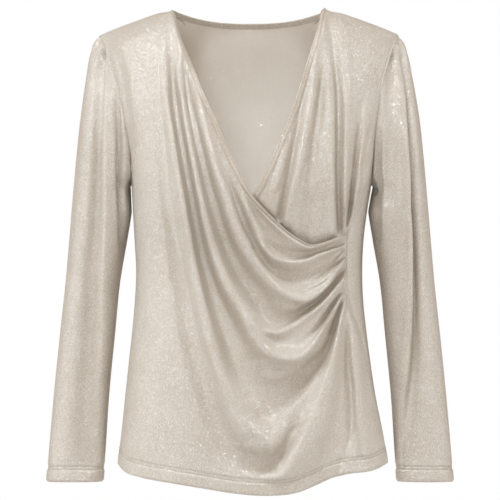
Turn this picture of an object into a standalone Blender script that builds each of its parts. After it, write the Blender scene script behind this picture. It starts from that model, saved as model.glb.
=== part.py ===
"""A women's long-sleeved top whose V neck is wrapped over and gathered into one side seam.

It stands hollow, as it hangs on a wearer's shoulders. The tables are in millimetres. +Z is up,
the front faces -Y and +X is the wearer's left. The origin lies on the line between the two side
neck points. The body is a stack of rounded rings: a place on it is an angle round the ring, 0 at
the wearer's right side and half a turn at the left side by way of the front, and a height.
Every panel is a wall on that form, pushed out by the folds in its table.
"""

import math
from collections import namedtuple

import bpy
import numpy as np

MM = 0.001
WALL = 1.5  # jersey with its turned edges
BAND_WALL = 1.8  # the neck binding is folded over the edge
SEAM = 0.3  # left open between two pieces at a seam
GATHER_SEAM = 0.6  # the same where the pleats pull on the left side seam
ROUNDNESS = 2.4  # power of the ring: 2 is an ellipse
SHOULDER_ROUND = 90.0  # drop over which the shoulder rounds from its seam to full depth
SEAM_FADE = 16.0  # folds die out over this width beside a seam
UNDER_LAP = 3.4  # the under front lies this far inside the wrap front
UNDER_SINK = 16.0  # drop over which it sinks from its own surface to that depth
UNDER_SINK_ABOVE = 14.0  # where that starts, above the wrap's edge
DRAPE_LIFT = 4.0  # the gathered cloth stands this far off the body before its folds
UNDER_LIFT = 2.0  # the same for the under front
DRAPE_SOFTNESS = 1.5  # how softly a trough comes to rest on the body
FOLD_STEPS = 24  # pieces a fold's line is measured in
SHARP_EDGE = math.radians(50)

Section = namedtuple("Section", "z right left front back")
BODY = (
    Section(60, 196, 193.5, 58, 66),
    Section(0, 196, 193.5, 62, 70),
    Section(-34, 196, 193, 68, 78),
    Section(-83, 190, 187, 80, 90),
    Section(-120, 181, 180.5, 92, 96),
    Section(-155, 168, 170.5, 103, 98),
    Section(-190, 158.5, 164, 111, 98),
    Section(-230, 153.8, 157.5, 114, 95),
    Section(-270, 151.5, 151, 109, 91),
    Section(-300, 149.8, 147.5, 103, 89),
    Section(-340, 147.8, 145.8, 98, 88),
    Section(-378, 149.3, 147, 100, 91),
    Section(-417, 152.8, 151, 104, 96),
    Section(-456, 157, 156, 108, 101),
    Section(-508, 162.5, 164, 112, 106),
    Section(-547, 166.5, 172, 114, 109),
    Section(-590, 172, 179.5, 116, 112),
    Section(-635, 178, 187, 117, 114),
)

TubeSection = namedtuple("TubeSection", "z outer inner half_depth middle_y")
SLEEVE = (
    TubeSection(-34.5, 196, 146, 50, 0),
    TubeSection(-42, 202, 146, 51, 0),
    TubeSection(-60, 208, 147, 53, 0),
    TubeSection(-92, 213.5, 147, 55, 0),
    TubeSection(-144, 220.5, 148, 57, 1),
    TubeSection(-229, 229, 150, 57, 2),
    TubeSection(-262, 231.8, 153.5, 55, 2),
    TubeSection(-300, 235, 159.5, 52, 3),
    TubeSection(-352, 239.5, 168.5, 48, 4),
    TubeSection(-417, 246.5, 175, 44, 3),
    TubeSection(-508, 255.5, 183.5, 39, -3),
    TubeSection(-573, 261, 187.5, 36, -8),
    TubeSection(-613, 264, 190.5, 35, -11),
)
SLEEVE_CLEARANCE = 1.8  # least distance from the sleeve to the side of the body
SLEEVE_HEAD_BLEND = 120.0  # length over which the sleeve head runs into the tube
UNDERARM_BLEND = 20.0  # the same under the arm
SLEEVE_FOLD_START = 30.0  # the sleeve's folds come in over this length below its seam
SLEEVE_FOLD_FACING = 1.6  # and are full where the cloth faces this inverse share of forward
SLEEVE_ROW_POWER = 1.3  # above 1 the sleeve's rows are closer together at its head
ARMHOLE_FACING = (0.98, 0, -0.19)  # the way out of the left armhole

Place = namedtuple("Place", "x z")
SHOULDER_LINE = (Place(0, 62), Place(45, 48), Place(80, 18), Place(99, 0), Place(120, -5.5),
                 Place(150, -16), Place(180, -27.5), Place(196, -34.5))
FRONT_HEM = (Place(-172, -588), Place(-160, -598), Place(-140, -604), Place(-100, -611),
             Place(-60, -617.5), Place(-20, -624), Place(20, -627), Place(60, -622.5),
             Place(80, -614.5), Place(100, -606), Place(120, -600.5), Place(160, -595),
             Place(180, -587))
BACK_HEM_SIDE = -587.5
BACK_HEM_MIDDLE = -600.0
WRAP_EDGE = (Place(-101, -2), Place(-97, -20), Place(-85, -56), Place(-71, -100),
             Place(-50, -148), Place(-28, -198), Place(-5, -238), Place(25, -270),
             Place(60, -299), Place(78, -308), Place(102, -303), Place(125, -293))
UNDER_EDGE = (Place(97, -2), Place(92, -28), Place(80, -72), Place(58, -140), Place(45, -172),
              Place(25, -217), Place(10, -244), Place(-25, -278), Place(-75, -312),
              Place(-146.5, -338))
NECK_HALF_WIDTH = 99.0
BACK_NECK_MIDDLE = -22.0
BACK_NECK_SIDE = -8.0
BACK_NECK_CURVE = 2.4  # power of the curve between them
NECK_CORNER = 2.0  # from the neck's end to the first place on the back's shoulder seam

SHOULDER_TIP_Z = -34.5
UNDERARM_Z = -229.0
PLEATS_TOP_Z = -293.0
PLEATS_BOTTOM_Z = -365.0
# How far out on the ring the armhole seam runs, at even turns from shoulder tip to underarm.
ARMHOLE_SHARES = (1, 0.985, 0.963, 0.942, 0.925, 0.936, 0.958, 0.974, 0.986, 0.997, 1)
Seam = namedtuple("Seam", "z share")
# The left side seam has swung forward at the waist, where the pleats pull on it.
LEFT_SEAM = (Seam(-229, 1), Seam(-250, 0.962), Seam(-270, 0.892), Seam(-293, 0.845),
             Seam(-329, 0.852), Seam(-365, 0.854), Seam(-392, 0.898), Seam(-415, 0.94),
             Seam(-450, 0.967), Seam(-490, 0.994), Seam(-520, 1), Seam(-590, 1))

# One row a fold. Heights and widths are at its start, middle and end; a trough's height is
# below zero. Skew narrows the side towards the neck edge, or the other side below zero.
Fold = namedtuple("Fold", "name heights widths skew line")
WRAP_FOLDS = (
    Fold("outer trough", (0, -4, -1), (14, 20, 18), 0.0,
         (Place(-121, -130), Place(-98, -280), Place(-86, -400), Place(-72, -513),
          Place(-29, -588))),
    Fold("outer roll", (1, 4, 4), (9, 15, 26), 0.0,
         (Place(-119, -40), Place(-97, -200), Place(-77, -320), Place(-56, -450),
          Place(10, -550))),
    Fold("first trough", (-2, -6, -2), (8, 11, 20), -0.1,
         (Place(-114, -40), Place(-103, -120), Place(-83, -240), Place(-57, -360),
          Place(-20, -450), Place(30, -500))),
    Fold("low swag", (1, 5, 6), (8, 11, 6), -0.1,
         (Place(-105, -60), Place(-84, -180), Place(-58, -320), Place(-29, -396),
          Place(19, -445), Place(69, -450), Place(104, -401), Place(123, -363))),
    Fold("second trough", (-2, -6, -2), (8, 12, 8), 0.0,
         (Place(-98, -40), Place(-80, -120), Place(-54, -240), Place(-31, -320),
          Place(0, -385), Place(45, -412), Place(85, -395), Place(118, -356))),
    Fold("middle swag", (1, 8, 6), (8, 13, 6), -0.15,
         (Place(-88, -60), Place(-66, -160), Place(-31, -253), Place(-8, -315),
          Place(32, -357), Place(73, -376), Place(104, -352), Place(124, -322))),
    Fold("third trough", (-1, -7, -4), (8, 9, 5), -0.1,
         (Place(-50, -170), Place(-27, -240), Place(-5, -295), Place(32, -336),
          Place(75, -338), Place(120, -312))),
    Fold("high swag", (1, 5, 5), (8, 8, 5), 0.0,
         (Place(-18, -235), Place(3, -290), Place(36, -327), Place(75, -326),
          Place(122, -306))),
    Fold("neck roll", (1, 5, 6), (10, 10, 8), 0.0,
         (Place(-20, -215), Place(10, -258), Place(60, -303), Place(90, -306),
          Place(122, -296))),
    Fold("crease under the middle swag", (-1, -4, -4), (9, 7, 5), 0.0,
         (Place(57, -396), Place(88, -379), Place(108, -359), Place(124, -342))),
    Fold("long tongue", (-5, -6, -2), (8, 14, 15), 0.0,
         (Place(122, -374), Place(108, -415), Place(91, -463), Place(40, -506),
          Place(2, -516))),
    Fold("hip roll", (3, 6, 5), (9, 16, 20), 0.0,
         (Place(124, -385), Place(111, -433), Place(97, -492), Place(72, -556),
          Place(34, -608))),
)
UNDER_FOLDS = (
    Fold("edge roll", (2, 4, 3), (9, 11, 10), 0.0,
         (Place(97, -10), Place(86, -80), Place(70, -160), Place(52, -240), Place(40, -280))),
    Fold("chest groove", (-1, -4, -5), (8, 9, 8), 0.0,
         (Place(106, -30), Place(112, -90), Place(115, -180), Place(115, -240),
          Place(117, -292))),
    Fold("chest roll", (1, 4, 3), (10, 10, 7), 0.0,
         (Place(124, -40), Place(130, -120), Place(129, -200), Place(125, -275))),
)
RIGHT_SLEEVE_FOLDS = (
    Fold("front crease", (-2, -4, -3), (5, 8, 16), 0.0,
         (Place(-190, -58), Place(-197, -120), Place(-197, -240), Place(-207, -378),
          Place(-212, -560))),
    Fold("elbow crease", (-1, -3, -1), (8, 9, 8), 0.0,
         (Place(-171, -130), Place(-171, -222), Place(-167, -333))),
)
LEFT_SLEEVE_FOLDS = (
    Fold("front crease", (-2, -4, -3), (5, 7, 12), 0.0,
         (Place(193, -44), Place(204, -110), Place(211, -200), Place(213, -380),
          Place(196, -560))),
    Fold("head trough", (-1, -2, 0), (6, 8, 8), 0.0,
         (Place(182, -60), Place(186, -140), Place(190, -240))),
)

# The binding along a neck edge: its width and how far it turns in, by share of the edge.
Binding = namedtuple("Binding", "share width turn")
WRAP_BINDING = (Binding(0, 7, 80), Binding(0.2, 7, 78), Binding(0.3, 7, 14),
                Binding(0.66, 7, 14), Binding(0.8, 5, 20), Binding(1, 4, 24))
UNDER_BINDING = (Binding(0, 7, 80), Binding(0.13, 7, 70), Binding(0.22, 7, 12),
                 Binding(0.55, 7, 8), Binding(1, 6, 0))
BACK_BINDING = (Binding(0, 7, -20), Binding(0.15, 7, -10), Binding(0.5, 7, 0),
                Binding(0.85, 7, -10), Binding(1, 7, -20))
BINDING_SEAM = 0.4
WRAP_BINDING_END = 0.98  # share of the neck edge that is bound
UNDER_BINDING_END = 0.94

ARMHOLE_CELLS = 10
RIGHT_SIDE_CELLS = 9
HEM_CELLS = 20
SEAM_CELLS = (2, 4, 10)  # on the left side seam: above, along and below the pleats
WRAP_CELLS = 22
UNDER_CELLS = 12
SHOULDER_CELLS = 3
NECK_CELLS = 8
NECK = slice(SHOULDER_CELLS + 1, SHOULDER_CELLS + NECK_CELLS + 2)  # its columns on the back
SLEEVE_CELLS = 12
BINDING_CELLS = 1
# Shares of the wrap's neck edge level with the underarm, the right and the left hem corner.
WRAP_EDGE_STOPS = (0.26, 0.56, 0.84)

CHAMPAGNE = (0.604, 0.565, 0.497)
CHAMPAGNE_SHADE = (0.52, 0.483, 0.42)


def smooth(at, stations, values):
    """A smooth curve through a table, held at its end values outside it."""
    stations = np.asarray(stations, float)
    values = np.asarray(values, float)
    slopes = np.gradient(values, stations)
    at = np.clip(at, stations[0], stations[-1])
    cell = np.clip(np.searchsorted(stations, at, side="right") - 1, 0, len(stations) - 2)
    width = stations[cell + 1] - stations[cell]
    t = (at - stations[cell]) / width
    return ((1 + 2 * t) * (1 - t) ** 2 * values[cell] + t * t * (3 - 2 * t) * values[cell + 1]
            + width * t * (1 - t) * ((1 - t) * slopes[cell] - t * slopes[cell + 1]))


def by_height(z, rows, column):
    """A column of a table of sections at height z."""
    return smooth(-np.asarray(z, float), [-row.z for row in rows],
                  [getattr(row, column) for row in rows])


def by_x(x, places):
    return smooth(x, [place.x for place in places], [place.z for place in places])


def route(places, shares):
    """Points (x, z) at these shares of the way along a smooth line through the places."""
    points = np.array(places, float)
    steps = np.hypot(*np.diff(points, axis=0).T)
    way = np.concatenate([[0], np.cumsum(steps)])
    at = np.asarray(shares, float) * way[-1]
    return smooth(at, way, points[:, 0]), smooth(at, way, points[:, 1])


def smoothstep(value):
    value = np.clip(value, 0, 1)
    return value * value * (3 - 2 * value)


def unit(vectors):
    return vectors / np.maximum(np.linalg.norm(vectors, axis=-1, keepdims=True), 1e-9)


def ring(angle, z):
    """The body's surface at an angle round it and a height."""
    across, forward = np.cos(angle), np.sin(angle)
    half = np.where(across > 0, by_height(z, BODY, "right"), by_height(z, BODY, "left"))
    depth = np.where(forward > 0, by_height(z, BODY, "front"), by_height(z, BODY, "back"))
    x = -half * np.sign(across) * np.abs(across) ** (2 / ROUNDNESS)
    drop = np.clip((by_x(np.abs(x), SHOULDER_LINE) - z) / SHOULDER_ROUND, 0, 1)
    closing = np.sqrt(1 - (1 - drop) ** 2)
    y = -depth * closing * np.sign(forward) * np.abs(forward) ** (2 / ROUNDNESS)
    return np.stack(np.broadcast_arrays(x, y, z), axis=-1)


def angle_at(x, z):
    """The angle on the front of the ring where it crosses x."""
    half = np.where(np.asarray(x) < 0, by_height(z, BODY, "right"), by_height(z, BODY, "left"))
    share = np.clip(np.abs(x) / half, 0, 1) ** (ROUNDNESS / 2)
    return np.where(np.asarray(x) < 0, np.arccos(share), math.pi - np.arccos(share))


def round_ring(angle, z):
    """The direction along the ring, towards the wearer's left by way of the front."""
    step = 0.01
    return unit(ring(angle + step, z) - ring(angle - step, z))


def armhole_rows():
    """Heights of the armhole's rows, closer at the shoulder tip and at the underarm."""
    turn = np.linspace(0, math.pi, ARMHOLE_CELLS + 1)
    middle = (SHOULDER_TIP_Z + UNDERARM_Z) / 2
    return middle + (SHOULDER_TIP_Z - UNDERARM_Z) / 2 * np.cos(turn)


def right_armhole_angle(z):
    stations = -armhole_rows()
    return np.arccos(np.clip(smooth(-z, stations, ARMHOLE_SHARES), 0, 1) ** (ROUNDNESS / 2))


def left_seam_angle(z):
    """The left armhole above the underarm, and the left side seam below it."""
    below = np.clip(by_height(z, LEFT_SEAM, "share"), 0, 1)
    return math.pi - np.where(z > UNDERARM_Z, right_armhole_angle(z),
                              np.arccos(below ** (ROUNDNESS / 2)))


def right_seam_angle(z):
    return np.where(z > UNDERARM_Z, right_armhole_angle(z), 0)


def left_seam_rows():
    """Heights of the rows on the left side seam, from the underarm to the hem."""
    above, along, below = SEAM_CELLS
    return np.concatenate([
        np.linspace(UNDERARM_Z, PLEATS_TOP_Z, above + 1)[:-1],
        np.linspace(PLEATS_TOP_Z, PLEATS_BOTTOM_Z, along + 1)[:-1],
        np.linspace(PLEATS_BOTTOM_Z, FRONT_HEM[-1].z, below + 1)])


def fold_height(x, z, fold):
    """A fold is a soft bump or trough across the nearest place of its line."""
    line = np.stack(route(fold.line, np.linspace(0, 1, FOLD_STEPS + 1)), axis=-1)
    start, step = line[:-1], np.diff(line, axis=0)
    offset = np.stack([x, z], axis=-1)[..., None, :] - start
    share = np.clip((offset * step).sum(-1) / (step * step).sum(-1), 0, 1)
    gap = offset - share[..., None] * step
    near = np.argmin((gap * gap).sum(-1), axis=-1)[..., None]
    along = (near + np.take_along_axis(share, near, -1))[..., 0] / len(step)
    gap = np.take_along_axis(gap, near[..., None], -2)[..., 0, :]
    step = step[near[..., 0]]
    side = np.sign(step[..., 0] * gap[..., 1] - step[..., 1] * gap[..., 0])
    height = np.interp(along, (0, 0.5, 1), fold.heights)
    width = np.interp(along, (0, 0.5, 1), fold.widths) * (1 - fold.skew * side)
    return height * np.exp(-(gap * gap).sum(-1) / width ** 2)


def folds(x, z, table):
    return sum(fold_height(x, z, fold) for fold in table)


def beside_seams(angle, z):
    """1 on the open panel, falling to 0 at the armholes, side seams and shoulder seams."""
    point = ring(angle, z)
    reach = by_height(z, BODY, "front")
    right = (angle - right_seam_angle(z)) * reach / SEAM_FADE
    left = (left_seam_angle(z) - angle) * reach / SEAM_FADE
    top = (by_x(np.abs(point[..., 0]), SHOULDER_LINE) - z) / SEAM_FADE
    return smoothstep(right) * smoothstep(left) * smoothstep(top)


def wrap_height(angle, z):
    """How far the wrap front stands off the body."""
    point = ring(angle, z)
    height = DRAPE_LIFT + folds(point[..., 0], z, WRAP_FOLDS)
    height = DRAPE_SOFTNESS * np.logaddexp(0, height / DRAPE_SOFTNESS)
    return height * beside_seams(angle, z)


def under_height(angle, z):
    """The under front stands off the body where it shows, and lies inside under the wrap."""
    point = ring(angle, z)
    x = point[..., 0]
    edge_x = [place.x for place in WRAP_EDGE]
    edge_z = [place.z for place in WRAP_EDGE]
    hidden = smoothstep((np.interp(x, edge_x, edge_z) + UNDER_SINK_ABOVE - z) / UNDER_SINK)
    height = UNDER_LIFT + folds(x, z, UNDER_FOLDS)
    return (1 - hidden) * height * beside_seams(angle, z) - hidden * UNDER_LAP


def normals(grid, closed=False):
    """Unit normals of a grid of points, whose second direction may close on itself."""
    if closed:
        padded = np.concatenate([grid[:, -1:], grid, grid[:, :1]], axis=1)
        round_it = (padded[:, 2:] - padded[:, :-2])
    else:
        round_it = np.gradient(grid, axis=1)
    return unit(np.cross(np.gradient(grid, axis=0), round_it))


def faced(grid, closed, away_from):
    """Normals that point away from the given places inside the garment or tube."""
    found = normals(grid, closed)
    side = np.sign((found * (grid - away_from)).sum())
    return found * side


def cell_middles(values):
    return (values[:-1, :-1] + values[1:, :-1] + values[1:, 1:] + values[:-1, 1:]) / 4


def split_cells(a, b, c, d, outer, middles):
    """Two triangles a cell, split along the diagonal that runs nearer the cell's middle."""
    along_ac = np.stack([np.stack([a, b, c], -1), np.stack([a, c, d], -1)], -2)
    along_bd = np.stack([np.stack([a, b, d], -1), np.stack([b, c, d], -1)], -2)
    if middles is None:
        return along_ac.reshape(-1, 3)
    places = outer.reshape(-1, 3)
    miss_ac = np.linalg.norm((places[a] + places[c]) / 2 - middles, axis=-1)
    miss_bd = np.linalg.norm((places[b] + places[d]) / 2 - middles, axis=-1)
    return np.where((miss_bd < miss_ac)[..., None, None], along_bd, along_ac).reshape(-1, 3)


def build_wall(name, outer, inward, closed=False, middles=None):
    """A closed wall: the outer grid, the same grid moved in, and the rims that join them."""
    rows, columns = outer.shape[:2]
    inner = outer - inward
    points = np.concatenate([outer.reshape(-1, 3), inner.reshape(-1, 3)])
    index = np.arange(rows * columns).reshape(rows, columns)
    if closed:
        index = np.concatenate([index, index[:, :1]], axis=1)
    skin = split_cells(index[:-1, :-1], index[1:, :-1], index[1:, 1:], index[:-1, 1:], outer,
                       middles)
    edges = [index[0], index[-1][::-1]]
    if not closed:
        edges += [index[:, 0][::-1], index[:, -1]]
    lower = rows * columns
    rims = []
    for edge in edges:
        p, q = edge[:-1], edge[1:]
        rims += [np.stack([p, q, q + lower], -1), np.stack([p, q + lower, p + lower], -1)]
    faces = np.concatenate([skin, skin[:, ::-1] + lower] + rims)
    corners = points[faces]
    volume = np.einsum("ij,ij->i", corners[:, 0], np.cross(corners[:, 1], corners[:, 2])).sum()
    if volume < 0:
        faces = faces[:, ::-1]
    mesh = bpy.data.meshes.new(name)
    mesh.from_pydata((points * MM).tolist(), [], faces.tolist())
    mesh.update()
    mesh.shade_smooth()
    mesh.set_sharp_from_angle(angle=SHARP_EDGE)
    part = bpy.data.objects.new(name, mesh)
    bpy.context.scene.collection.objects.link(part)
    return part


def square_to(vectors, across):
    """The vectors with what they have along another direction taken away."""
    return unit(vectors - (vectors * across).sum(-1, keepdims=True) * across)


def finish_panel(name, grid, across, material, seam_gap=SEAM, middles=None):
    """Draws the seam edges in by half the gap and builds the wall square to each seam."""
    middle = grid * 0
    middle[..., 2] = grid[..., 2]
    out = square_to(faced(grid, False, middle), across)
    gap = np.broadcast_to(np.asarray(seam_gap, float), grid.shape[:2])
    grid = grid - across * gap[..., None] / 2
    part = build_wall(name, grid, out * WALL, middles=middles)
    part.data.materials.append(material)
    return grid, out


def beyond_edge(edge, next_row):
    """The direction in the cloth that points past an edge."""
    return square_to(edge - next_row, unit(np.gradient(edge, axis=0)))


def raised(angle, z, height):
    """The ring's surface moved out by a height along its normal."""
    base = ring(angle, z)
    step_angle, step_z = 0.004, 0.4
    round_it = ring(angle + step_angle, z) - ring(angle - step_angle, z)
    down = ring(angle, z - step_z) - ring(angle, z + step_z)
    return base + unit(np.cross(down, round_it)) * height[..., None]


def across_front(angle, z):
    """The share of the way over the front from the right seam or armhole to the left one."""
    right = right_seam_angle(z)
    return (angle - right) / (left_seam_angle(z) - right)


def angle_across(share, z):
    right = right_seam_angle(z)
    return right + share * (left_seam_angle(z) - right)


def ruled(edge, outline, shares):
    """Places (angle, z) on straight ways from a neck edge to an outline, both (share, z).

    The first rows are bent so that the top one lies on the shoulder seam.
    """
    (edge_share, edge_z), (far_share, far_z) = edge, outline
    z = (1 - shares) * edge_z[:, None] + shares * far_z[:, None]
    share = (1 - shares) * edge_share[:, None] + shares * far_share[:, None]
    top_x = ring(angle_across(share[0], z[0]), z[0])[:, 0]
    lift = by_x(np.abs(top_x), SHOULDER_LINE) - z[0]
    z = z + lift * (1 - smoothstep((far_z[0] - far_z) / SHOULDER_ROUND))[:, None]
    return angle_across(share, z), z


def edge_across(places, shares):
    x, z = route(places, shares)
    return across_front(angle_at(x, z), z), z


def wrap_outline():
    """Down the right armhole and side, along the hem and up the left side seam."""
    armhole = armhole_rows()
    side = np.linspace(UNDERARM_Z, FRONT_HEM[0].z, RIGHT_SIDE_CELLS + 1)[1:]
    hem_angle = np.linspace(0, math.pi, HEM_CELLS + 1)[1:]
    hem_x = ring(hem_angle, np.full(HEM_CELLS, BACK_HEM_SIDE))[:, 0]
    seam = left_seam_rows()[sum(SEAM_CELLS[:2]):][::-1][1:]
    share = np.concatenate([np.zeros(len(armhole) + len(side)), hem_angle / math.pi,
                            np.ones(len(seam))])
    return share, np.concatenate([armhole, side, by_x(hem_x, FRONT_HEM), seam])


def wrap_edge_shares():
    """Shares of the neck edge that face the stations of the outline."""
    first, second, third = WRAP_EDGE_STOPS
    rows = armhole_rows()
    level = (rows[0] - rows) / (rows[0] - rows[-1])
    even = np.linspace(0, 1, len(rows))
    return np.concatenate([
        first * (level + (even - level) * even),
        np.linspace(first, second, RIGHT_SIDE_CELLS + 1)[1:],
        np.linspace(second, third, HEM_CELLS + 1)[1:],
        np.linspace(third, 1, SEAM_CELLS[2] + 1)[1:]])


def build_front_wrap(material):
    """The wearer's right front: shoulder to hem, wrapped over and pleated into the left seam."""
    shares = np.linspace(0, 1, WRAP_CELLS + 1)
    angle, z = ruled(edge_across(WRAP_EDGE, wrap_edge_shares()), wrap_outline(), shares)
    z[-1] = np.linspace(PLEATS_TOP_Z, PLEATS_BOTTOM_Z, WRAP_CELLS + 1)
    angle[-1] = left_seam_angle(z[-1])
    grid = raised(angle, z, wrap_height(angle, z))
    middle_angle, middle_z = cell_middles(angle), cell_middles(z)
    middles = raised(middle_angle, middle_z, wrap_height(middle_angle, middle_z))
    # The last cells run along the bent side seam: split this way they stay on their side of it.
    middles[-1] = (grid[-2, :-1] + grid[-1, 1:]) / 2
    across = np.zeros(grid.shape)
    across[:, 0] = beyond_edge(grid[:, 0], grid[:, 1])
    across[0] = (0, 1, 0)
    corner = ARMHOLE_CELLS + RIGHT_SIDE_CELLS
    across[ARMHOLE_CELLS:corner + 1, -1] = (0, 1, 0)
    left = slice(corner + HEM_CELLS, None)
    across[left, -1] = round_ring(angle[left, -1], z[left, -1])
    across[-1] = round_ring(angle[-1], z[-1])
    gap = np.full(grid.shape[:2], SEAM)
    gap[-1] = gap[left, -1] = 2 * GATHER_SEAM - SEAM
    return finish_panel("front_wrap", grid, across, material, gap, middles)


def build_front_under(material):
    """The wearer's left front: it crosses under the wrap to the right side seam."""
    rows = np.concatenate([armhole_rows(), left_seam_rows()[1:sum(SEAM_CELLS[:2]) + 1]])
    shares = np.linspace(0, 1, UNDER_CELLS + 1)
    level = (rows[0] - rows) / (rows[0] - rows[-1])
    edge = edge_across(UNDER_EDGE, level)
    angle, z = ruled(edge, (np.ones(len(rows)), rows), shares)
    grid = raised(angle, z, under_height(angle, z))
    middle_angle, middle_z = cell_middles(angle), cell_middles(z)
    middles = raised(middle_angle, middle_z, under_height(middle_angle, middle_z))
    across = np.zeros(grid.shape)
    across[:, 0] = beyond_edge(grid[:, 0], grid[:, 1])
    across[0] = (0, 1, 0)
    across[ARMHOLE_CELLS:, -1] = round_ring(angle[ARMHOLE_CELLS:, -1], z[ARMHOLE_CELLS:, -1])
    return finish_panel("front_under", grid, across, material, middles=middles)


def back_neck(x):
    """Height of the back neck seam, under the binding."""
    return BACK_NECK_MIDDLE + (BACK_NECK_SIDE - BACK_NECK_MIDDLE) * np.abs(
        x / NECK_HALF_WIDTH) ** BACK_NECK_CURVE


def build_back(material):
    """The back: shoulder and neck to hem, and round the left side to the seam on the front."""
    shoulder = np.linspace(0, 1, SHOULDER_CELLS + 1)
    neck = np.linspace(-NECK_HALF_WIDTH, NECK_HALF_WIDTH, NECK_CELLS + 1)
    reach = NECK_HALF_WIDTH + NECK_CORNER
    top_x = np.concatenate([-BODY[2].right + shoulder * (BODY[2].right - reach), neck,
                            reach + shoulder * (BODY[2].left - reach)])
    top_z = np.where(np.abs(top_x) <= NECK_HALF_WIDTH, back_neck(top_x),
                     by_x(np.abs(top_x), SHOULDER_LINE))
    top_angle = angle_at(top_x, top_z)
    top_share = (top_angle - top_angle[0]) / (top_angle[-1] - top_angle[0])
    even_share = np.linspace(0, 1, len(top_x))
    left_z = np.concatenate([armhole_rows(), left_seam_rows()[1:]])
    down = np.concatenate([
        (left_z[0] - left_z[:ARMHOLE_CELLS]) / (left_z[0] - UNDERARM_Z),
        1 + (UNDERARM_Z - left_z[ARMHOLE_CELLS:]) / (UNDERARM_Z - left_z[-1])])[:, None]
    share = top_share + (even_share - top_share) * smoothstep(down)
    hem = BACK_HEM_SIDE + (BACK_HEM_MIDDLE - BACK_HEM_SIDE) * np.sin(math.pi * even_share)
    upper = top_z + (UNDERARM_Z - top_z) * np.clip(down, 0, 1)
    z = upper + (hem - UNDERARM_Z) * np.clip(down - 1, 0, 1)
    z[:, -1] = left_z
    start = right_seam_angle(z[:, :1])
    left = left_seam_angle(left_z)[:, None]
    end = np.where(left_z[:, None] > UNDERARM_Z, left, 2 * math.pi - left)
    angle = -(start + (end - start) * share)
    angle[0] = -top_angle
    grid = raised(angle, z, np.zeros(z.shape))
    across = np.zeros(grid.shape)
    across[0, NECK] = beyond_edge(grid[0, NECK], grid[1, NECK])
    across[0, :SHOULDER_CELLS + 1] = (0, -1, 0)
    across[0, -SHOULDER_CELLS - 1:] = (0, -1, 0)
    across[ARMHOLE_CELLS:, 0] = (0, -1, 0)
    rows = slice(ARMHOLE_CELLS, None)
    across[rows, -1] = -round_ring(angle[rows, -1], z[rows, -1])
    return finish_panel("back", grid, across, material)


def armhole_points(side):
    """The armhole seam as a closed loop: down the front and up the back."""
    rows = armhole_rows()
    z = np.concatenate([rows, rows[-2:0:-1]])
    right = right_armhole_angle(z)
    forward = np.where(np.arange(len(z)) <= ARMHOLE_CELLS, 1, -1)
    angle = (right if side < 0 else math.pi - right) * forward
    return ring(angle, z)


def build_sleeve(name, side, table, material):
    """A sleeve: a tube to the open cuff, whose upper end runs into the armhole seam."""
    seam = armhole_points(side)
    count = len(seam)
    turn = np.arange(count) * 2 * math.pi / count
    share = np.linspace(0, 1, SLEEVE_CELLS + 1)[:, None] ** SLEEVE_ROW_POWER
    z = seam[:, 2] + (SLEEVE[-1].z - seam[:, 2]) * share

    def tube(height):
        body = by_height(height, BODY, "right" if side < 0 else "left")
        inner = np.maximum(by_height(height, SLEEVE, "inner"), np.where(
            height > UNDERARM_Z, 0, body + SLEEVE_CLEARANCE))
        outer = by_height(height, SLEEVE, "outer")
        x = side * ((outer + inner) / 2 + (outer - inner) / 2 * np.cos(turn))
        y = (by_height(height, SLEEVE, "middle_y")
             - by_height(height, SLEEVE, "half_depth") * np.sin(turn))
        return np.stack(np.broadcast_arrays(x, y, height), axis=-1)

    reach = UNDERARM_BLEND + (SLEEVE_HEAD_BLEND - UNDERARM_BLEND) * (1 + np.cos(turn)) / 2
    blend = 1 - smoothstep((seam[:, 2] - z) / reach)
    grid = tube(z) + blend[..., None] * (seam - tube(seam[:, 2]))
    middle = grid.mean(axis=1, keepdims=True)
    out = faced(grid, True, middle)
    height = folds(grid[..., 0], grid[..., 2], table)
    height = height * smoothstep((seam[:, 2] - z) / SLEEVE_FOLD_START)
    facing = np.clip(-out[..., 1] * SLEEVE_FOLD_FACING, 0, 1)
    grid = grid + out * (height * facing)[..., None]
    out = faced(grid, True, middle)
    outward = unit(np.array(ARMHOLE_FACING) * (side, 1, 1))
    in_loop = seam - seam.mean(axis=0)
    out[0] = unit(in_loop - (in_loop * outward).sum(-1, keepdims=True) * outward)
    grid[0] = seam + outward * SEAM
    part = build_wall(name, grid, out * WALL, closed=True)
    part.data.materials.append(material)
    return part


def build_binding(name, seam, next_row, out, rows, material):
    """A strip past a neck seam, turned in or up by each station's angle."""
    beyond = square_to(beyond_edge(seam, next_row), out)
    steps = np.linalg.norm(np.diff(seam, axis=0), axis=1)
    way = np.concatenate([[0], np.cumsum(steps)]) / steps.sum()
    stations = [row.share for row in rows]
    width = smooth(way, stations, [row.width for row in rows])[:, None]
    turn = np.radians(smooth(way, stations, [row.turn for row in rows]))[:, None]
    start = seam + beyond * (BINDING_SEAM + BAND_WALL * np.maximum(np.sin(turn), 0))
    along = beyond * np.cos(turn) - out * np.sin(turn)
    face = out * np.cos(turn) + beyond * np.sin(turn)
    face[0] = square_to(face[0], np.array([0, 1.0, 0]))
    reach = np.linspace(0, 1, BINDING_CELLS + 1)[:, None]
    strip = start[:, None] + (along * width)[:, None] * reach
    face = np.repeat(face[:, None], BINDING_CELLS + 1, 1)
    part = build_wall(name, strip, face * BAND_WALL)
    part.data.materials.append(material)


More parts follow.
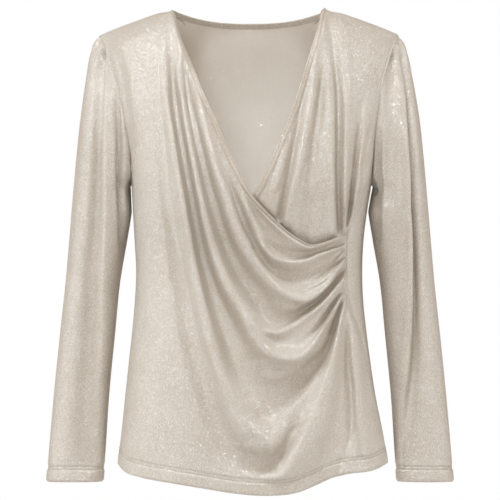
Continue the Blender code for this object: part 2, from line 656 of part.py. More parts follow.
def build_bindings(wrap, under, back, material):
    """One strip a neck edge: both fronts' to where they are caught, and the back neck's."""
    for name, (grid, out), rows, share in (
            ("neckband_wrap", wrap, WRAP_BINDING, WRAP_BINDING_END),
            ("neckband_under", under, UNDER_BINDING, UNDER_BINDING_END)):
        count = round(share * (len(grid) - 1)) + 1
        build_binding(name, grid[:count, 0], grid[:count, 1], out[:count, 0], rows, material)
    grid, out = back
    build_binding("neckband_back", grid[0, NECK], grid[1, NECK], out[0, NECK], BACK_BINDING,
                  material)


def jersey(name, colour):
    """A satiny knit with a fine glitter in it."""
    material = bpy.data.materials.new(name)
    material.use_nodes = True
    shader = material.node_tree.nodes["Principled BSDF"]
    shader.inputs["Base Color"].default_value = (*colour, 1)
    shader.inputs["Roughness"].default_value = 0.5
    shader.inputs["Metallic"].default_value = 0.0
    material.diffuse_color = (*colour, 1)
    return material


def main():
    for item in list(bpy.data.objects):
        bpy.data.objects.remove(item, do_unlink=True)
    cloth = jersey("champagne_jersey", CHAMPAGNE)
    wrap = build_front_wrap(cloth)
    under = build_front_under(jersey("champagne_jersey_under", CHAMPAGNE_SHADE))
    back = build_back(jersey("champagne_jersey_back", CHAMPAGNE_SHADE))
    build_sleeve("sleeve_right", -1, RIGHT_SLEEVE_FOLDS, cloth)
    build_sleeve("sleeve_left", 1, LEFT_SLEEVE_FOLDS, cloth)
    build_bindings(wrap, under, back, jersey("champagne_binding", CHAMPAGNE))


main()
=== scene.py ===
"""Looks for the wrap front top: draped jersey, neck binding, turned hems, stitches and glitter.

The tables are in millimetres and the meshes in metres. +Z is up, the front faces -Y and +X is the
wearer's left. The body is a stack of rounded rings, and a place on it is an angle round the ring
and a height. Every panel is a surface of two parameters over those rings, raised by its folds.
The folds are drawn on an upright plane through the shoulders, as an eye far in front sees them.
"""

import math
from collections import namedtuple

import bpy
import numpy as np
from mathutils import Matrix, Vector


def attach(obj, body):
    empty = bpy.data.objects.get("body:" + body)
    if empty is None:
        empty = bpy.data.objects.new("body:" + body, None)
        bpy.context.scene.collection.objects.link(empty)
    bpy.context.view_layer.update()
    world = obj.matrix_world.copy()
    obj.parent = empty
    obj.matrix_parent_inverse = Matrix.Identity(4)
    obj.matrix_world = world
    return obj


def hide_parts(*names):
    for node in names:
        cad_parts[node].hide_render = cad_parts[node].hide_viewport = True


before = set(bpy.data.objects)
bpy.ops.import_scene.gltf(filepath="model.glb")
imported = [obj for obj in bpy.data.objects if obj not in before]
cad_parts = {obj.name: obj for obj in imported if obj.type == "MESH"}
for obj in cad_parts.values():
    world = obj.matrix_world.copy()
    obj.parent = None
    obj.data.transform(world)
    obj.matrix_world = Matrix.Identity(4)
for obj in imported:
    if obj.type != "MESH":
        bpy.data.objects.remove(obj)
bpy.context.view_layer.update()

MM = 0.001
CLOTH = 1.1  # thickness of the jersey
FRONT_ROUNDNESS = 3.0  # power of the ring: 2 is an ellipse, and the front is a little flatter
BACK_ROUNDNESS = 2.4
SHOULDER_ROUND = 90.0  # drop over which the shoulder rounds from its seam to full depth
SEAM = 0.3  # left open between two pieces at a seam
UNDER_LAP = 3.4  # the under front lies this far inside the wrap front
UNDER_SINK = 16.0  # drop over which it sinks from its own surface to that depth
UNDER_SINK_ABOVE = 14.0  # where that starts, above the wrap's edge

Section = namedtuple("Section", "z right left front back")
BODY = (
    Section(60, 196, 193.5, 58, 66),
    Section(0, 196, 193.5, 62, 70),
    Section(-34, 196, 193, 68, 78),
    Section(-83, 190, 187, 80, 90),
    Section(-120, 181, 180.5, 92, 96),
    Section(-155, 168, 170.5, 103, 98),
    Section(-190, 158.5, 164, 111, 98),
    Section(-230, 153.8, 157.5, 114, 95),
    Section(-270, 151.5, 151, 109, 91),
    Section(-300, 149.8, 147.5, 103, 89),
    Section(-340, 147.8, 145.8, 98, 88),
    Section(-378, 149.3, 147, 100, 91),
    Section(-417, 152.8, 151, 104, 96),
    Section(-456, 157, 156, 108, 101),
    Section(-508, 162.5, 164, 112, 106),
    Section(-547, 166.5, 172, 114, 109),
    Section(-590, 172, 179.5, 116, 112),
    Section(-635, 178, 187, 117, 114),
)

TubeSection = namedtuple("TubeSection", "z outer inner half_depth middle_y")
SLEEVE = (
    TubeSection(-34.5, 196, 146, 50, 0),
    TubeSection(-42, 202, 146, 51, 0),
    TubeSection(-60, 208, 147, 53, 0),
    TubeSection(-92, 213.5, 147, 55, 0),
    TubeSection(-144, 220.5, 148, 57, 1),
    TubeSection(-229, 229, 150, 57, 2),
    TubeSection(-262, 231.8, 153.5, 55, 2),
    TubeSection(-300, 235, 159.5, 52, 3),
    TubeSection(-352, 239.5, 168.5, 48, 4),
    TubeSection(-417, 246.5, 175, 44, 3),
    TubeSection(-508, 255.5, 183.5, 39, -3),
    TubeSection(-573, 261, 187.5, 36, -8),
    TubeSection(-613, 264, 190.5, 35, -11),
)
SLEEVE_CLEARANCE = 1.8  # least distance from the sleeve to the side of the body
CLEAR_ABOVE, CLEAR_DROP = 14.0, 20.0  # it comes in from this far above the underarm
SLEEVE_HEAD_BLEND = 120.0  # length over which the sleeve head runs into the tube
UNDERARM_BLEND = 20.0  # the same under the arm
ARMHOLE_FACING = (0.98, 0, -0.19)  # the way out of the left armhole

Place = namedtuple("Place", "x z")
SHOULDER_LINE = (Place(0, 62), Place(45, 48), Place(80, 18), Place(99, 0), Place(120, -5.5),
                 Place(150, -16), Place(180, -27.5), Place(196, -34.5))
FRONT_HEM = (Place(-172, -588), Place(-160, -598), Place(-140, -604), Place(-100, -611),
             Place(-60, -617.5), Place(-20, -624), Place(20, -627), Place(60, -622.5),
             Place(80, -614.5), Place(100, -606), Place(120, -600.5), Place(160, -595),
             Place(180, -587))
BACK_HEM_SIDE = -587.5
BACK_HEM_MIDDLE = -600.0
WRAP_EDGE = (Place(-101, -2), Place(-97, -20), Place(-85, -56), Place(-71, -100),
             Place(-50, -148), Place(-28, -198), Place(-5, -238), Place(25, -270),
             Place(60, -299), Place(78, -308), Place(102, -303), Place(125, -293))
UNDER_EDGE = (Place(97, -2), Place(92, -28), Place(80, -72), Place(58, -140), Place(45, -172),
              Place(25, -217), Place(10, -244), Place(-25, -278), Place(-75, -312),
              Place(-146.5, -338))
NECK_HALF_WIDTH = 99.0
BACK_NECK_MIDDLE = -22.0
BACK_NECK_SIDE = -8.0
BACK_NECK_CURVE = 2.4
NECK_CORNER = 2.0

SHOULDER_TIP_Z = -34.5
UNDERARM_Z = -229.0
PLEATS_TOP_Z = -293.0
PLEATS_BOTTOM_Z = -365.0
# How far out on the ring the armhole seam runs, at even turns from shoulder tip to underarm.
ARMHOLE_SHARES = (1, 0.985, 0.963, 0.942, 0.925, 0.936, 0.958, 0.974, 0.986, 0.997, 1)
Seam = namedtuple("Seam", "z share")
LEFT_SEAM = (Seam(-229, 1), Seam(-250, 0.962), Seam(-270, 0.892), Seam(-293, 0.845),
             Seam(-329, 0.852), Seam(-365, 0.854), Seam(-392, 0.898), Seam(-415, 0.94),
             Seam(-450, 0.967), Seam(-490, 0.99), Seam(-520, 0.9957), Seam(-555, 0.999),
             Seam(-575, 0.9998), Seam(-590, 1))

EYE_DISTANCE = 7000.0
EYE_Z = -313.0
FRAME_WIDTH = 650.0  # what the eye takes in on the plane through the shoulders

Fold = namedtuple("Fold", "name crest line")
Knot = namedtuple("Knot", "x z height inner outer")


def fold(name, crest, *knots):
    """A fold along a line through its knots, each x, z, height, inner, outer.

    It stands out from the body, or sinks in where its height is below zero. Its sides are
    "inner", on the left hand of someone walking along the line, and "outer": how wide each is.
    Crest 2 is round, and 1 is a sharp edge.
    """
    return Fold(name, crest, [Knot(*knot) for knot in knots])


WRAP_FOLDS = (
    fold("outer trough", 2.0, (-119, -110, 0, 5, 8), (-112, -170, -2, 5, 9),
        (-107, -235, -3.5, 5, 10), (-98, -285, -5, 5, 11), (-91, -325, -6, 5, 13),
        (-84, -362, -7, 6, 15), (-76, -402, -8, 7, 16), (-65, -442, -9, 8, 18),
        (-50, -482, -9.5, 8, 21), (-37, -520, -10, 9, 23), (-23, -549, -10, 9, 23),
        (-7, -570, -10, 8, 23), (12, -584, -10, 8, 22), (28, -588, -8, 7, 15),
        (40, -575, -6, 6, 9), (49, -558, -3, 5, 7), (58, -540, -1, 6, 8)),
    fold("outer roll", 1.7, (-112, -30, 0, 5, 6), (-112, -60, 1.2, 5, 6), (-110.5, -90, 3, 5, 6),
        (-108, -120, 5, 5, 6), (-102, -160, 7, 6, 8), (-95.5, -200, 8.5, 6, 9),
        (-88, -240, 9, 6, 9), (-81, -280, 9.5, 6, 10), (-74, -320, 10, 6, 10),
        (-66, -360, 10.5, 7, 11), (-57, -400, 11, 8, 12), (-48, -440, 11.5, 12, 12),
        (-37, -480, 12, 13, 13), (-28, -503, 12, 14, 14), (-20, -522, 11.5, 17, 15),
        (-10, -540, 11, 21, 15), (0, -553, 10.5, 22, 14), (12, -562, 10, 22, 13),
        (24, -564, 9, 22, 12), (35, -560, 7, 22, 12), (46, -552, 4, 20, 12)),
    fold("first trough", 1.8, (-103, -30, 0, 4, 4), (-102, -60, -1.2, 4, 4),
        (-100.5, -90, -3.2, 4, 5), (-98, -120, -6, 5, 5), (-92, -160, -8, 6, 5),
        (-85, -200, -9, 6, 5), (-77, -240, -10, 6, 5.5), (-69.5, -280, -10.5, 6, 6),
        (-61, -320, -10.5, 7, 7), (-49, -360, -10.5, 8, 9), (-34, -400, -10.5, 11, 12),
        (-16, -440, -10.5, 14, 20), (-8, -465, -10.5, 18, 20), (-4, -492, -10.5, 28, 16),
        (3, -515, -10, 40, 10), (13, -528, -10, 42, 9), (25, -525, -10, 40, 9),
        (38, -514, -10.5, 34, 9), (50, -502, -10.5, 28, 10), (61, -490, -11, 22, 10),
        (72, -477, -11, 15, 9), (86, -462, -11, 10, 7), (99, -446, -11, 7, 4),
        (106, -428, -11, 5, 3), (112, -404, -10, 3.5, 3), (118, -385, -9, 3, 3),
        (125, -367, -5, 2.5, 2.5)),
    fold("low swag", 1.6, (-92, -50, 0, 4, 4), (-91, -90, 2.8, 4, 4), (-87, -120, 5, 4, 4),
        (-81, -160, 6.5, 5, 5), (-73, -200, 7.5, 6, 5), (-65, -240, 8.5, 6, 6),
        (-56, -280, 9.5, 8, 7), (-44, -320, 10, 10, 9), (-28, -360, 10.5, 10, 10),
        (-14, -382, 11, 10, 10), (0, -403, 11.5, 8, 11), (9, -421, 12, 6, 11),
        (17, -437, 12, 8, 9), (27, -448, 12, 10, 7), (40, -453.5, 12, 12, 7),
        (57, -455, 11, 12, 7), (70, -450, 10, 10, 6), (79, -440, 9, 8, 5), (92, -420, 8, 4, 3),
        (104, -401, 7, 3, 3), (113, -384, 6, 3, 3), (124, -363, 4, 2.5, 2.5)),
    fold("second trough", 1.8, (-86, -50, 0, 3, 3), (-83, -90, -3, 3, 3),
        (-79.5, -120, -5.5, 4, 3.5), (-71.5, -160, -8, 6, 4), (-62, -200, -9, 6, 5),
        (-51, -240, -10, 6, 7), (-38.5, -280, -10, 8, 9), (-23, -320, -10, 9, 11),
        (-7, -348, -9.5, 12, 12), (7, -370, -9.5, 15, 12), (15, -388, -9.5, 18, 10),
        (23, -402, -9, 20, 7), (34, -409, -7.5, 22, 5), (47, -408, -5.5, 20, 4),
        (60, -401, -3, 12, 4)),
    fold("middle swag", 1.6, (-72, -80, 2, 5, 5), (-66, -120, 3.5, 6, 6), (-56, -160, 5, 6, 8),
        (-44.5, -200, 7, 6, 9), (-30, -240, 9, 6, 11), (-17.5, -280, 10.5, 5, 12),
        (-6, -302, 11, 5, 13), (4.5, -320, 11, 5, 13), (18, -341, 11, 5, 12),
        (31, -357, 10.5, 8, 10), (45, -369, 10, 12, 7), (60, -377, 10, 14, 5),
        (76, -378, 9, 11, 4), (88, -371, 8, 7, 3.5), (100, -359, 7, 4, 3), (112, -342, 6, 3, 3),
        (124, -325, 4, 2.5, 2.5)),
    fold("lip inside the low swag", 1.4, (-8, -392, 0, 4, 6), (5, -406, 2.5, 4, 6),
        (16, -415, 4.5, 4, 6), (28, -419.5, 5.5, 4, 6), (39, -419.5, 5, 4, 6),
        (50, -414, 3.5, 5, 6), (64, -405, 3, 5, 6), (80, -394, 3.5, 4, 5), (100, -377, 3.5, 3, 4),
        (112, -362, 3, 2.5, 3), (123, -350, 2, 2.5, 2.5)),
    fold("third trough", 1.7, (-40, -195, -1, 4, 4), (-31, -220, -3, 4, 4),
        (-22, -243, -5.5, 5, 4), (-10, -273, -7.5, 5, 4), (0, -298, -8, 6, 4),
        (12, -320, -9, 8, 4), (26, -338, -9.5, 10, 4), (44, -348, -8.5, 14, 7),
        (63, -350, -7, 15, 8), (84, -343, -5.5, 12, 7), (104, -328, -5, 7, 5),
        (120, -312, -4, 3, 3)),
    fold("high swag", 1.4, (-16, -226, 1, 6, 6), (-10, -240, 3.5, 6, 6), (-2, -262, 4, 6, 6),
        (7, -284, 4, 6, 7), (14, -301, 5, 5, 7), (22, -314, 6, 4, 8), (30, -322, 6.5, 3, 9),
        (44, -327, 6, 3, 9), (60, -328, 5.5, 3.5, 9), (75, -325, 5, 4, 8), (90, -319, 4.5, 3.5, 6),
        (104, -315, 4, 3, 4), (119, -309, 3, 2.5, 3)),
    fold("fourth trough", 1.4, (12, -298, -1.5, 10, 3), (26, -310, -4, 10, 3),
        (40, -317, -6.5, 9, 3), (55, -320.5, -8.5, 7, 4), (70, -318.5, -9.5, 4, 5),
        (84, -314, -8.5, 3, 4), (98, -309.5, -7, 2.5, 3), (108, -306.5, -6, 2.5, 2.5),
        (119, -305, -4, 2.5, 2.5)),
    fold("edge roll", 1.6, (-30, -194, 0, 20, 5), (-5, -238, 1, 20, 6), (25, -270, 3, 20, 9),
        (60, -299, 6, 20, 12), (78, -308, 7, 20, 8), (102, -303, 6, 20, 4), (125, -293, 4, 20, 3)),
    fold("trough by the binding", 2.0, (-14, -229, -1, 4, 5), (-3, -248, -3, 4, 5),
        (8, -265, -4, 4, 5), (21, -281, -4, 5, 6), (34, -293, -2.5, 5, 7), (46, -301, -1, 4, 6)),
    fold("small crease", 1.4, (62, -358, -0.5, 4, 2.5), (76, -357, -2.5, 3, 2.5),
        (88, -352, -4.5, 3, 2.5), (101, -341, -5.5, 3, 2.5), (114, -330, -5.5, 2.5, 2.5),
        (124, -323, -4, 2.5, 2.5)),
    fold("small lip", 1.5, (66, -363, 0.5, 2.5, 4), (76, -361, 2.5, 2.5, 4),
        (88, -355, 3.5, 2.5, 4), (100, -347, 3.5, 2.5, 4), (112, -338, 3, 2.5, 3),
        (123, -330, 2, 2.5, 2.5)),
    fold("crease under the middle swag", 1.4, (36, -403, -1, 8, 9), (50, -400, -4, 8, 7),
        (64, -394, -6.5, 6, 6), (76, -386, -8.5, 4, 5), (86, -379, -10, 3.5, 4),
        (96, -370, -10, 3, 3.5), (106, -360, -9.5, 3, 3), (118, -343, -8, 2.5, 3),
        (124, -338, -5, 2.5, 2.5)),
    fold("crease over the low swag", 1.4, (76, -431, -0.5, 5, 5), (86, -420, -4, 4, 4),
        (98, -401, -8, 3.5, 3.5), (111, -380, -9, 3, 3), (118, -370, -8, 2.5, 3),
        (125, -361, -4, 2.5, 2.5)),
    fold("hip roll", 1.7, (124, -372, 4, 2.5, 2.5), (119.5, -392, 5.5, 4, 4), (116, -415, 7, 6, 5),
        (112, -440, 8, 9, 8), (106, -463, 8.5, 12, 9), (100, -482, 9, 15, 10),
        (93.5, -503, 9, 18, 11), (88, -522, 9.5, 20, 12), (80, -541, 9.5, 22, 12),
        (71, -560, 9.5, 22, 12), (59, -580, 9, 20, 12), (47, -597, 8, 16, 10),
        (35, -606, 6, 10, 7), (22, -607, 4, 6, 6), (12, -602, 2, 6, 5)),
    fold("hip trough", 2.0, (125, -385, -1, 4, 4), (124, -425, -4, 6, 8), (125, -460, -6, 7, 12),
        (127, -495, -9, 8, 16), (126, -530, -10, 9, 20), (121, -565, -10, 10, 26),
        (109, -600, -9.5, 12, 30), (101, -622, -9, 12, 30)),
    fold("side band", 2.0, (128, -385, 1.5, 7, 6), (134, -425, 2.5, 8, 8), (139, -470, 3, 8, 8),
        (143, -520, 2.5, 8, 8), (152, -575, 3, 8, 8)),
    fold("side trough", 2.0, (127, -400, -1, 4, 5), (125, -450, -1.5, 5, 5), (133, -545, -2, 6, 6),
        (140, -592, -2.5, 6, 6)),
    fold("first wrinkle", 1.6, (20, -464, -0.3, 3, 3), (36, -466, -2, 3, 3),
        (58, -461, -0.5, 3, 3)),
    fold("wrinkle roll", 1.8, (14, -478, 0.3, 4, 4), (34, -479, 2, 5, 5), (52, -475, 0.5, 4, 4)),
    fold("second wrinkle", 1.6, (8, -489, -0.2, 3, 3), (24, -491, -1.2, 4, 4),
        (40, -484, -0.2, 3, 3)),
    fold("chest hollow", 2.0, (-170, -60, -1, 5, 5), (-163, -95, -2.5, 5, 5),
        (-158, -130, -3, 4, 4), (-154, -165, -1, 3, 3)),
)
UNDER_FOLDS = (
    fold("edge roll", 1.7, (97, -10, 2, 7, 5), (90, -40, 3, 8, 6), (86, -80, 5, 8, 8),
        (80, -120, 6, 6, 8), (73, -160, 6.5, 6, 8), (65.5, -200, 6.5, 6, 7), (57, -230, 6.5, 6, 6),
        (51, -252, 6, 6, 5), (46, -275, 5, 6, 5), (42, -290, 3, 5, 4)),
    fold("narrow trough", 1.6, (74, -95, -1, 4, 4), (68, -122, -3, 4, 4), (61, -160, -4, 4, 4),
        (53.5, -200, -6, 4, 4), (47.5, -232, -7, 4, 4), (43, -252, -7.5, 4, 4),
        (39, -272, -8, 4, 4)),
    fold("roll by the binding", 2.0, (49, -165, 0.5, 4, 4), (42, -200, 2, 4, 4),
        (33, -233, 2, 4, 4)),
    fold("soft trough", 2.0, (91, -40, -2, 5, 5), (91, -82, -4.5, 6, 5), (89, -120, -5.5, 7, 5),
        (83, -160, -5.5, 8, 6), (78, -200, -5, 9, 7), (74, -230, -4.5, 9, 8),
        (72, -252, -4.5, 9, 8), (68, -275, -3.5, 9, 9), (64, -300, -3, 9, 9)),
    fold("groove", 1.6, (102, -18, -1, 4, 3), (106, -42, -3.5, 4, 3), (110.5, -80, -5, 5, 3),
        (113.5, -120, -7, 6, 3.5), (113.5, -160, -8.5, 6, 3), (113.5, -200, -10, 6, 3),
        (114, -240, -11, 6, 3), (115, -270, -12, 6, 3), (116, -302, -12, 5, 3)),
    fold("roll before the groove", 2.0, (100, -60, 1, 6, 8), (105, -120, 2.5, 5, 9),
        (106, -200, 3, 4, 10), (107, -290, 3, 3, 10)),
    fold("roll past the groove", 2.0, (122, -40, 1.5, 8, 7), (126, -100, 3, 8, 6),
        (126, -150, 4, 6, 5), (124.5, -200, 4.5, 4, 4), (123, -240, 4.5, 3, 4),
        (122, -285, 3, 2.5, 3)),
    fold("armpit crease", 1.6, (147, -105, -1.5, 6, 6), (143, -140, -3.5, 4, 5),
        (140, -163, -6, 4, 4), (136.5, -198, -8, 3.5, 4), (133, -230, -10, 3, 3.5),
        (131, -252, -10, 2.5, 3.5), (127.5, -275, -8, 2.5, 3), (125, -290, -4, 2, 2)),
    fold("armpit roll", 1.8, (151, -150, 2, 3, 4), (144, -195, 3.5, 3, 3), (141, -228, 4, 4, 3),
        (136, -252, 4, 3, 3), (130, -275, 2, 2, 2)),
    fold("armpit trough", 1.6, (157, -155, -2, 2.5, 2.5), (148, -200, -4, 2.5, 2.5),
        (146, -225, -1, 3, 3)),
)
BACK_FOLDS = (
    fold("left fall", 2.0, (70, -250, 0, 22, 22), (62, -360, 2.5, 24, 24), (66, -480, 3.5, 26, 26),
        (74, -610, 3, 28, 28)),
    fold("right fall", 2.0, (-70, -250, 0, 22, 22), (-64, -360, 2.5, 24, 24),
        (-68, -480, 3.5, 26, 26), (-78, -610, 3, 28, 28)),
    fold("middle fall", 2.0, (2, -260, 0, 26, 26), (-3, -360, -1.5, 26, 26), (2, -480, -2, 26, 26),
        (0, -610, 1, 26, 26)),
    fold("waist roll", 2.0, (-120, -330, 0, 10, 10), (0, -345, 1.2, 12, 14),
        (120, -328, 0, 10, 10)),
)
RIGHT_SLEEVE_FOLDS = (
    fold("front crease", 1.9, (-191, -58, -3, 3, 5), (-194, -75, -5, 3, 6),
        (-196, -100, -5.5, 4, 8), (-196, -140, -5.5, 4, 9), (-195.5, -180, -5.5, 4, 10),
        (-195.5, -220, -5.5, 4, 11), (-196, -260, -5, 5, 12), (-198, -300, -4.5, 6, 13),
        (-201, -340, -4, 8, 14), (-202, -400, -4, 9, 15), (-205, -460, -4, 11, 16),
        (-208, -520, -3.5, 13, 17), (-209, -585, -3, 14, 17)),
    fold("elbow crease", 1.7, (-174, -110, -1, 4, 4), (-171, -145, -3, 4, 4),
        (-169.5, -180, -5, 4, 4), (-168.5, -220, -6.5, 4, 4), (-166, -260, -7, 4, 4),
        (-163, -300, -7, 3.5, 5), (-164, -335, -2, 3, 4)),
    fold("first pucker", 1.6, (-194, -40, -2, 2, 2), (-199, -46, -1.5, 2, 2),
        (-203, -56, 0, 2.5, 2.5)),
    fold("second pucker", 1.6, (-191, -46, -2.4, 2, 2), (-197, -54, -2, 2, 2),
        (-201, -66, 0, 2.5, 2.5)),
    fold("third pucker", 1.6, (-189, -52, -2.6, 2, 2), (-193, -60, -2.4, 2, 2),
        (-195, -72, 0, 2.5, 2.5)),
    fold("pucker roll", 1.8, (-191, -49, 1.8, 2.2, 2.2), (-197, -58, 1.6, 2.5, 2.5),
        (-200, -71, 0.5, 3, 3)),
)
LEFT_SLEEVE_FOLDS = (
    fold("front crease", 1.6, (193, -40, -2, 4, 3), (197, -52, -3, 4, 3), (200, -70, -3.5, 4, 3),
        (204.5, -100, -4.5, 4, 3), (207.5, -140, -5.5, 4.5, 3), (210, -180, -6.5, 4.5, 3),
        (212.5, -220, -7, 4.5, 3), (213, -260, -7, 4.5, 3), (215.5, -300, -7.5, 5, 3),
        (215.5, -340, -8, 5, 3), (215, -380, -8, 6, 3), (213.5, -420, -7.5, 7, 3),
        (211, -460, -6.5, 9, 4), (206, -500, -5, 12, 5), (201, -540, -3.5, 15, 6),
        (198, -585, -2, 17, 8)),
    fold("roll by the front crease", 1.8, (197, -70, 0.5, 5, 6), (201, -120, 1.5, 5, 6),
        (205.5, -200, 2, 5, 7), (209, -300, 2.2, 5, 8), (207.5, -400, 2.2, 5, 8),
        (200, -480, 1, 6, 9)),
    fold("head trough", 2.0, (184, -60, -1.5, 6, 6), (184, -100, -2.2, 7, 7),
        (183.5, -150, -2.6, 7, 8), (182, -200, -2.6, 8, 9), (180, -245, -1.5, 8, 9)),
    fold("elbow crease", 1.7, (168, -160, -1, 5, 3), (165, -200, -5, 5, 3), (163, -230, -7, 6, 3),
        (161, -262, -7, 6, 3), (163, -300, -3, 6, 3)),
    fold("first pucker", 1.6, (189, -40, -2, 2, 2), (195, -46, -1.5, 2, 2),
        (199, -56, 0, 2.5, 2.5)),
    fold("second pucker", 1.6, (184, -50, -2.4, 2, 2), (186, -60, -2.4, 2, 2),
        (187, -76, 0, 2.5, 2.5)),
    fold("pucker roll", 1.8, (188, -43, 1.8, 2.2, 2.2), (194, -51, 1.5, 2.5, 2.5),
        (198, -62, 0.5, 3, 3)),
)

# How the drape stands off the body before its folds.
DRAPE_LIFT = 10.8
EDGE_LIFT = 3.0  # at the wrap's neck edge
EDGE_LIFT_REACH = 60.0  # and how far from it the full lift is reached
SIDE_FADE = 28.0  # the lift comes in over this width from the right side and the shoulder
LEFT_FADE = 14.0  # over this width from the left seam
PLEAT_FADE = 4.0  # and over this width at the pleats
PLEATS_EASE, PLEATS_EASE_BELOW = 30.0, 10.0  # one gives way to the other over this height
FOLD_TAIL = 6.0  # a fold is left off beyond the distance where it has fallen by exp(-6)
FOLD_ROUNDED = 0.5  # the part of its width over which a crest is rounded
WRAP_DEPTH = 1.42  # the heights in the tables are multiplied by these
UNDER_DEPTH = 1.2
SLEEVE_DEPTH = 1.8
SLEEVE_ROUNDNESS = 2.7  # 2 is an ellipse
FOLD_FADE = 9.0  # folds die out over this width beside a seam
LIFT_SOFTNESS = 1.2  # how softly the wrap's troughs stop at the body
UNDER_LIFT = 2.0  # how far the under front stands off the body before its folds
SEAM_DIP = 1.3  # a seam lies this far below the cloth beside it
SEAM_DIP_WIDTH = 3.2
BACK_FOLD_FADE, BACK_FOLD_DEPTH = 30.0, 40.0  # from a side seam, and back from the middle
SLEEVE_FOLD_FADE = 5.0  # from the sleeve head
SLEEVE_FOLD_FACING = 1.6  # above 1 the folds reach farther round towards the sleeve's sides

# A turned hem: its edge rounds in, the needle's rows draw the cloth down, and it puffs between.
HEM_EDGE, HEM_EDGE_HEIGHT = 1.2, 1.0
STITCH_DRAW, STITCH_DRAW_HEIGHT = 1.0, 1.3
HEM_PUFF, HEM_PUFF_EASE = 0.7, 3.0

# The neck edges roll in: radius by share of the edge. The binding has a width and a turn.
Roll = namedtuple("Roll", "share radius")
WRAP_ROLL = (Roll(0, 5), Roll(0.18, 5), Roll(0.27, 0.8), Roll(0.6, 0.8), Roll(0.7, 3.5),
             Roll(0.9, 4), Roll(1, 2.5))
UNDER_ROLL = (Roll(0, 4), Roll(0.08, 4), Roll(0.18, 0.8), Roll(1, 0.8))
Binding = namedtuple("Binding", "share width turn")
WRAP_BINDING = (Binding(0, 7, 80), Binding(0.2, 7, 74), Binding(0.3, 7, 10),
                Binding(0.58, 7, 10), Binding(0.7, 6, 60), Binding(1, 5, 80))
UNDER_BINDING = (Binding(0, 7, 80), Binding(0.13, 7, 60), Binding(0.22, 7, 10),
                 Binding(0.55, 7, 8), Binding(1, 6, 0))
BACK_BINDING = (Binding(0, 7, -20), Binding(0.15, 7, -10), Binding(0.5, 7, 0),
                Binding(0.85, 7, -10), Binding(1, 7, -20))
BINDING_WIDTH = 7.0  # where its section is drawn, and the tables narrow it from there
BINDING_THICK = 2.0
BINDING_CLOTH = 0.7
BINDING_LAP = 0.8  # it starts this far inside the edge
BINDING_SINK = 0.15  # and this share of its thickness below the cloth
BINDING_STITCH = (0.2, 0.78)  # the rows of stitches over its width
BINDING_GROOVE, BINDING_GROOVE_WIDTH = 0.22, 0.07  # the groove of a row: depth, share of width
WRAP_BINDING_END = 0.98
UNDER_BINDING_END = 0.94

HEM_STITCH = (16.5, 20.0)  # the twin needle's rows above a turned hem
STITCH_LENGTH = 2.3
STITCH_PITCH = 3.1
STITCH_AHEAD = 0.5  # a stitch points to the place this far along its line
THREAD = 0.4  # radius
THREAD_SIDES = 5
THREAD_BURIED = 0.15  # how far a thread lies in the binding
Station = namedtuple("Station", "along thick")
STITCH = (Station(-0.5, 0.3), Station(-0.38, 1), Station(0.38, 1), Station(0.5, 0.3))
HEM_LINE_END, HEM_LINE_POINTS = 0.004, 400  # a row of the hem stops short of the side seams

JERSEY_LIGHT, JERSEY_DEEP = (0.625, 0.58, 0.51), (0.505, 0.45, 0.375)
# The wrong side is paler and matt, as the back of a knit is, and its colours are lightened further
# as painted light, so the shaded inside of the garment comes out bright.
WRONG_SIDE_LIGHT_WITH_PAINTED_LIGHT, WRONG_SIDE_DEEP_WITH_PAINTED_LIGHT, WRONG_SPARKLE = (0.93, 0.88, 0.805), (0.86, 0.805, 0.725), 0.1
BOUND_LIGHT, BOUND_DEEP, BOUND_SPARKLE = (0.62, 0.56, 0.48), (0.52, 0.455, 0.375), 0.5
THREAD_COLOUR = (0.50, 0.45, 0.38)
FLAKE = (0.86, 0.84, 0.80, 1)
SHEEN = (0.95, 0.91, 0.84, 1)
HEATHER_SHARE, CLOUD_SHARE = 0.6, 0.4  # fine and broad unevenness in the yarn's shade
SHADE_DEEP, SHADE_LIGHT = 0.32, 0.66  # the shades where the deep and the light colour are full
CLOTH_ROUGHNESS, FLAKE_SMOOTHER, FLAKE_METAL = 0.56, -0.18, 0.9
FLOOR_HALF, FLOOR_Z, FLOOR_GLOW = 8000.0, -1450.0, 0.6

Light = namedtuple("Light", "name place size power")
LIGHTS = (  # places and sizes in metres
    Light("key", (-0.4, -1.7, 3.4), 1.4, 76),
    Light("upper left", (-1.5, -2.5, 2.7), 1.4, 40),
    Light("front", (0.0, -5.0, -0.2), 1.6, 26),
    Light("left", (-3.7, -0.6, 0.2), 1.5, 40),
    Light("right", (3.7, -0.6, 0.2), 1.5, 38),
)
LIGHT_COLOUR = (0.94, 1.0, 1.065)
SKY_COLOUR, SKY_STRENGTH = (1, 0.80, 0.61, 1), 0.38

# How many cells each stretch of a panel's edge has. The same seam has the same rows on both sides.
ARMHOLE_CELLS = 52
RIGHT_SIDE_CELLS = 54
HEM_CELLS = 108
SEAM_CELLS = (36, 44, 38)  # on the left side seam: above, along and below the pleats
WRAP_CELLS = 190  # from the neck edge to the outline
HEM_ROWS = 30  # over the last 30 mm or so
WRAP_HEM_REACH, SLEEVE_HEM_REACH = 0.08, 0.055  # the shares of the way that these rows take
UNDER_CELLS = 110
BACK_CELLS = (10, 60, 10)  # along its top: right shoulder, neck, left shoulder
SLEEVE_CELLS = 170
BINDING_CELLS, BINDING_EDGE_POINTS = 12, 7  # over a leg of the binding, and round its edge
UNDERARM_CROWDING = 1.6  # above 1 the left seam's rows are closer together at the underarm
HEAD_CROWDING = 1.15  # the same for a sleeve's rows at its head
UNDER_CROWDING = 1.15  # and for the under front's columns at its neck edge
BACK_EASE, BACK_EASE_DROP = 0.08, 0.6  # shares over which the back's columns leave its top edge
BODY_RADIUS, ARM_RADIUS = 110.0, 50.0  # an angle times these is a width of flat cloth
WAY_GAP = 0.004  # least angle between two of the wrap's last ways, at the neck edge
EDGE_CROWDING = 1.35  # above 1 the wrap's columns are closer together at the neck edge
# Shares of the wrap's neck edge level with the underarm, the right and the left hem corner.
WRAP_EDGE_STOPS = (0.26, 0.56, 0.84)


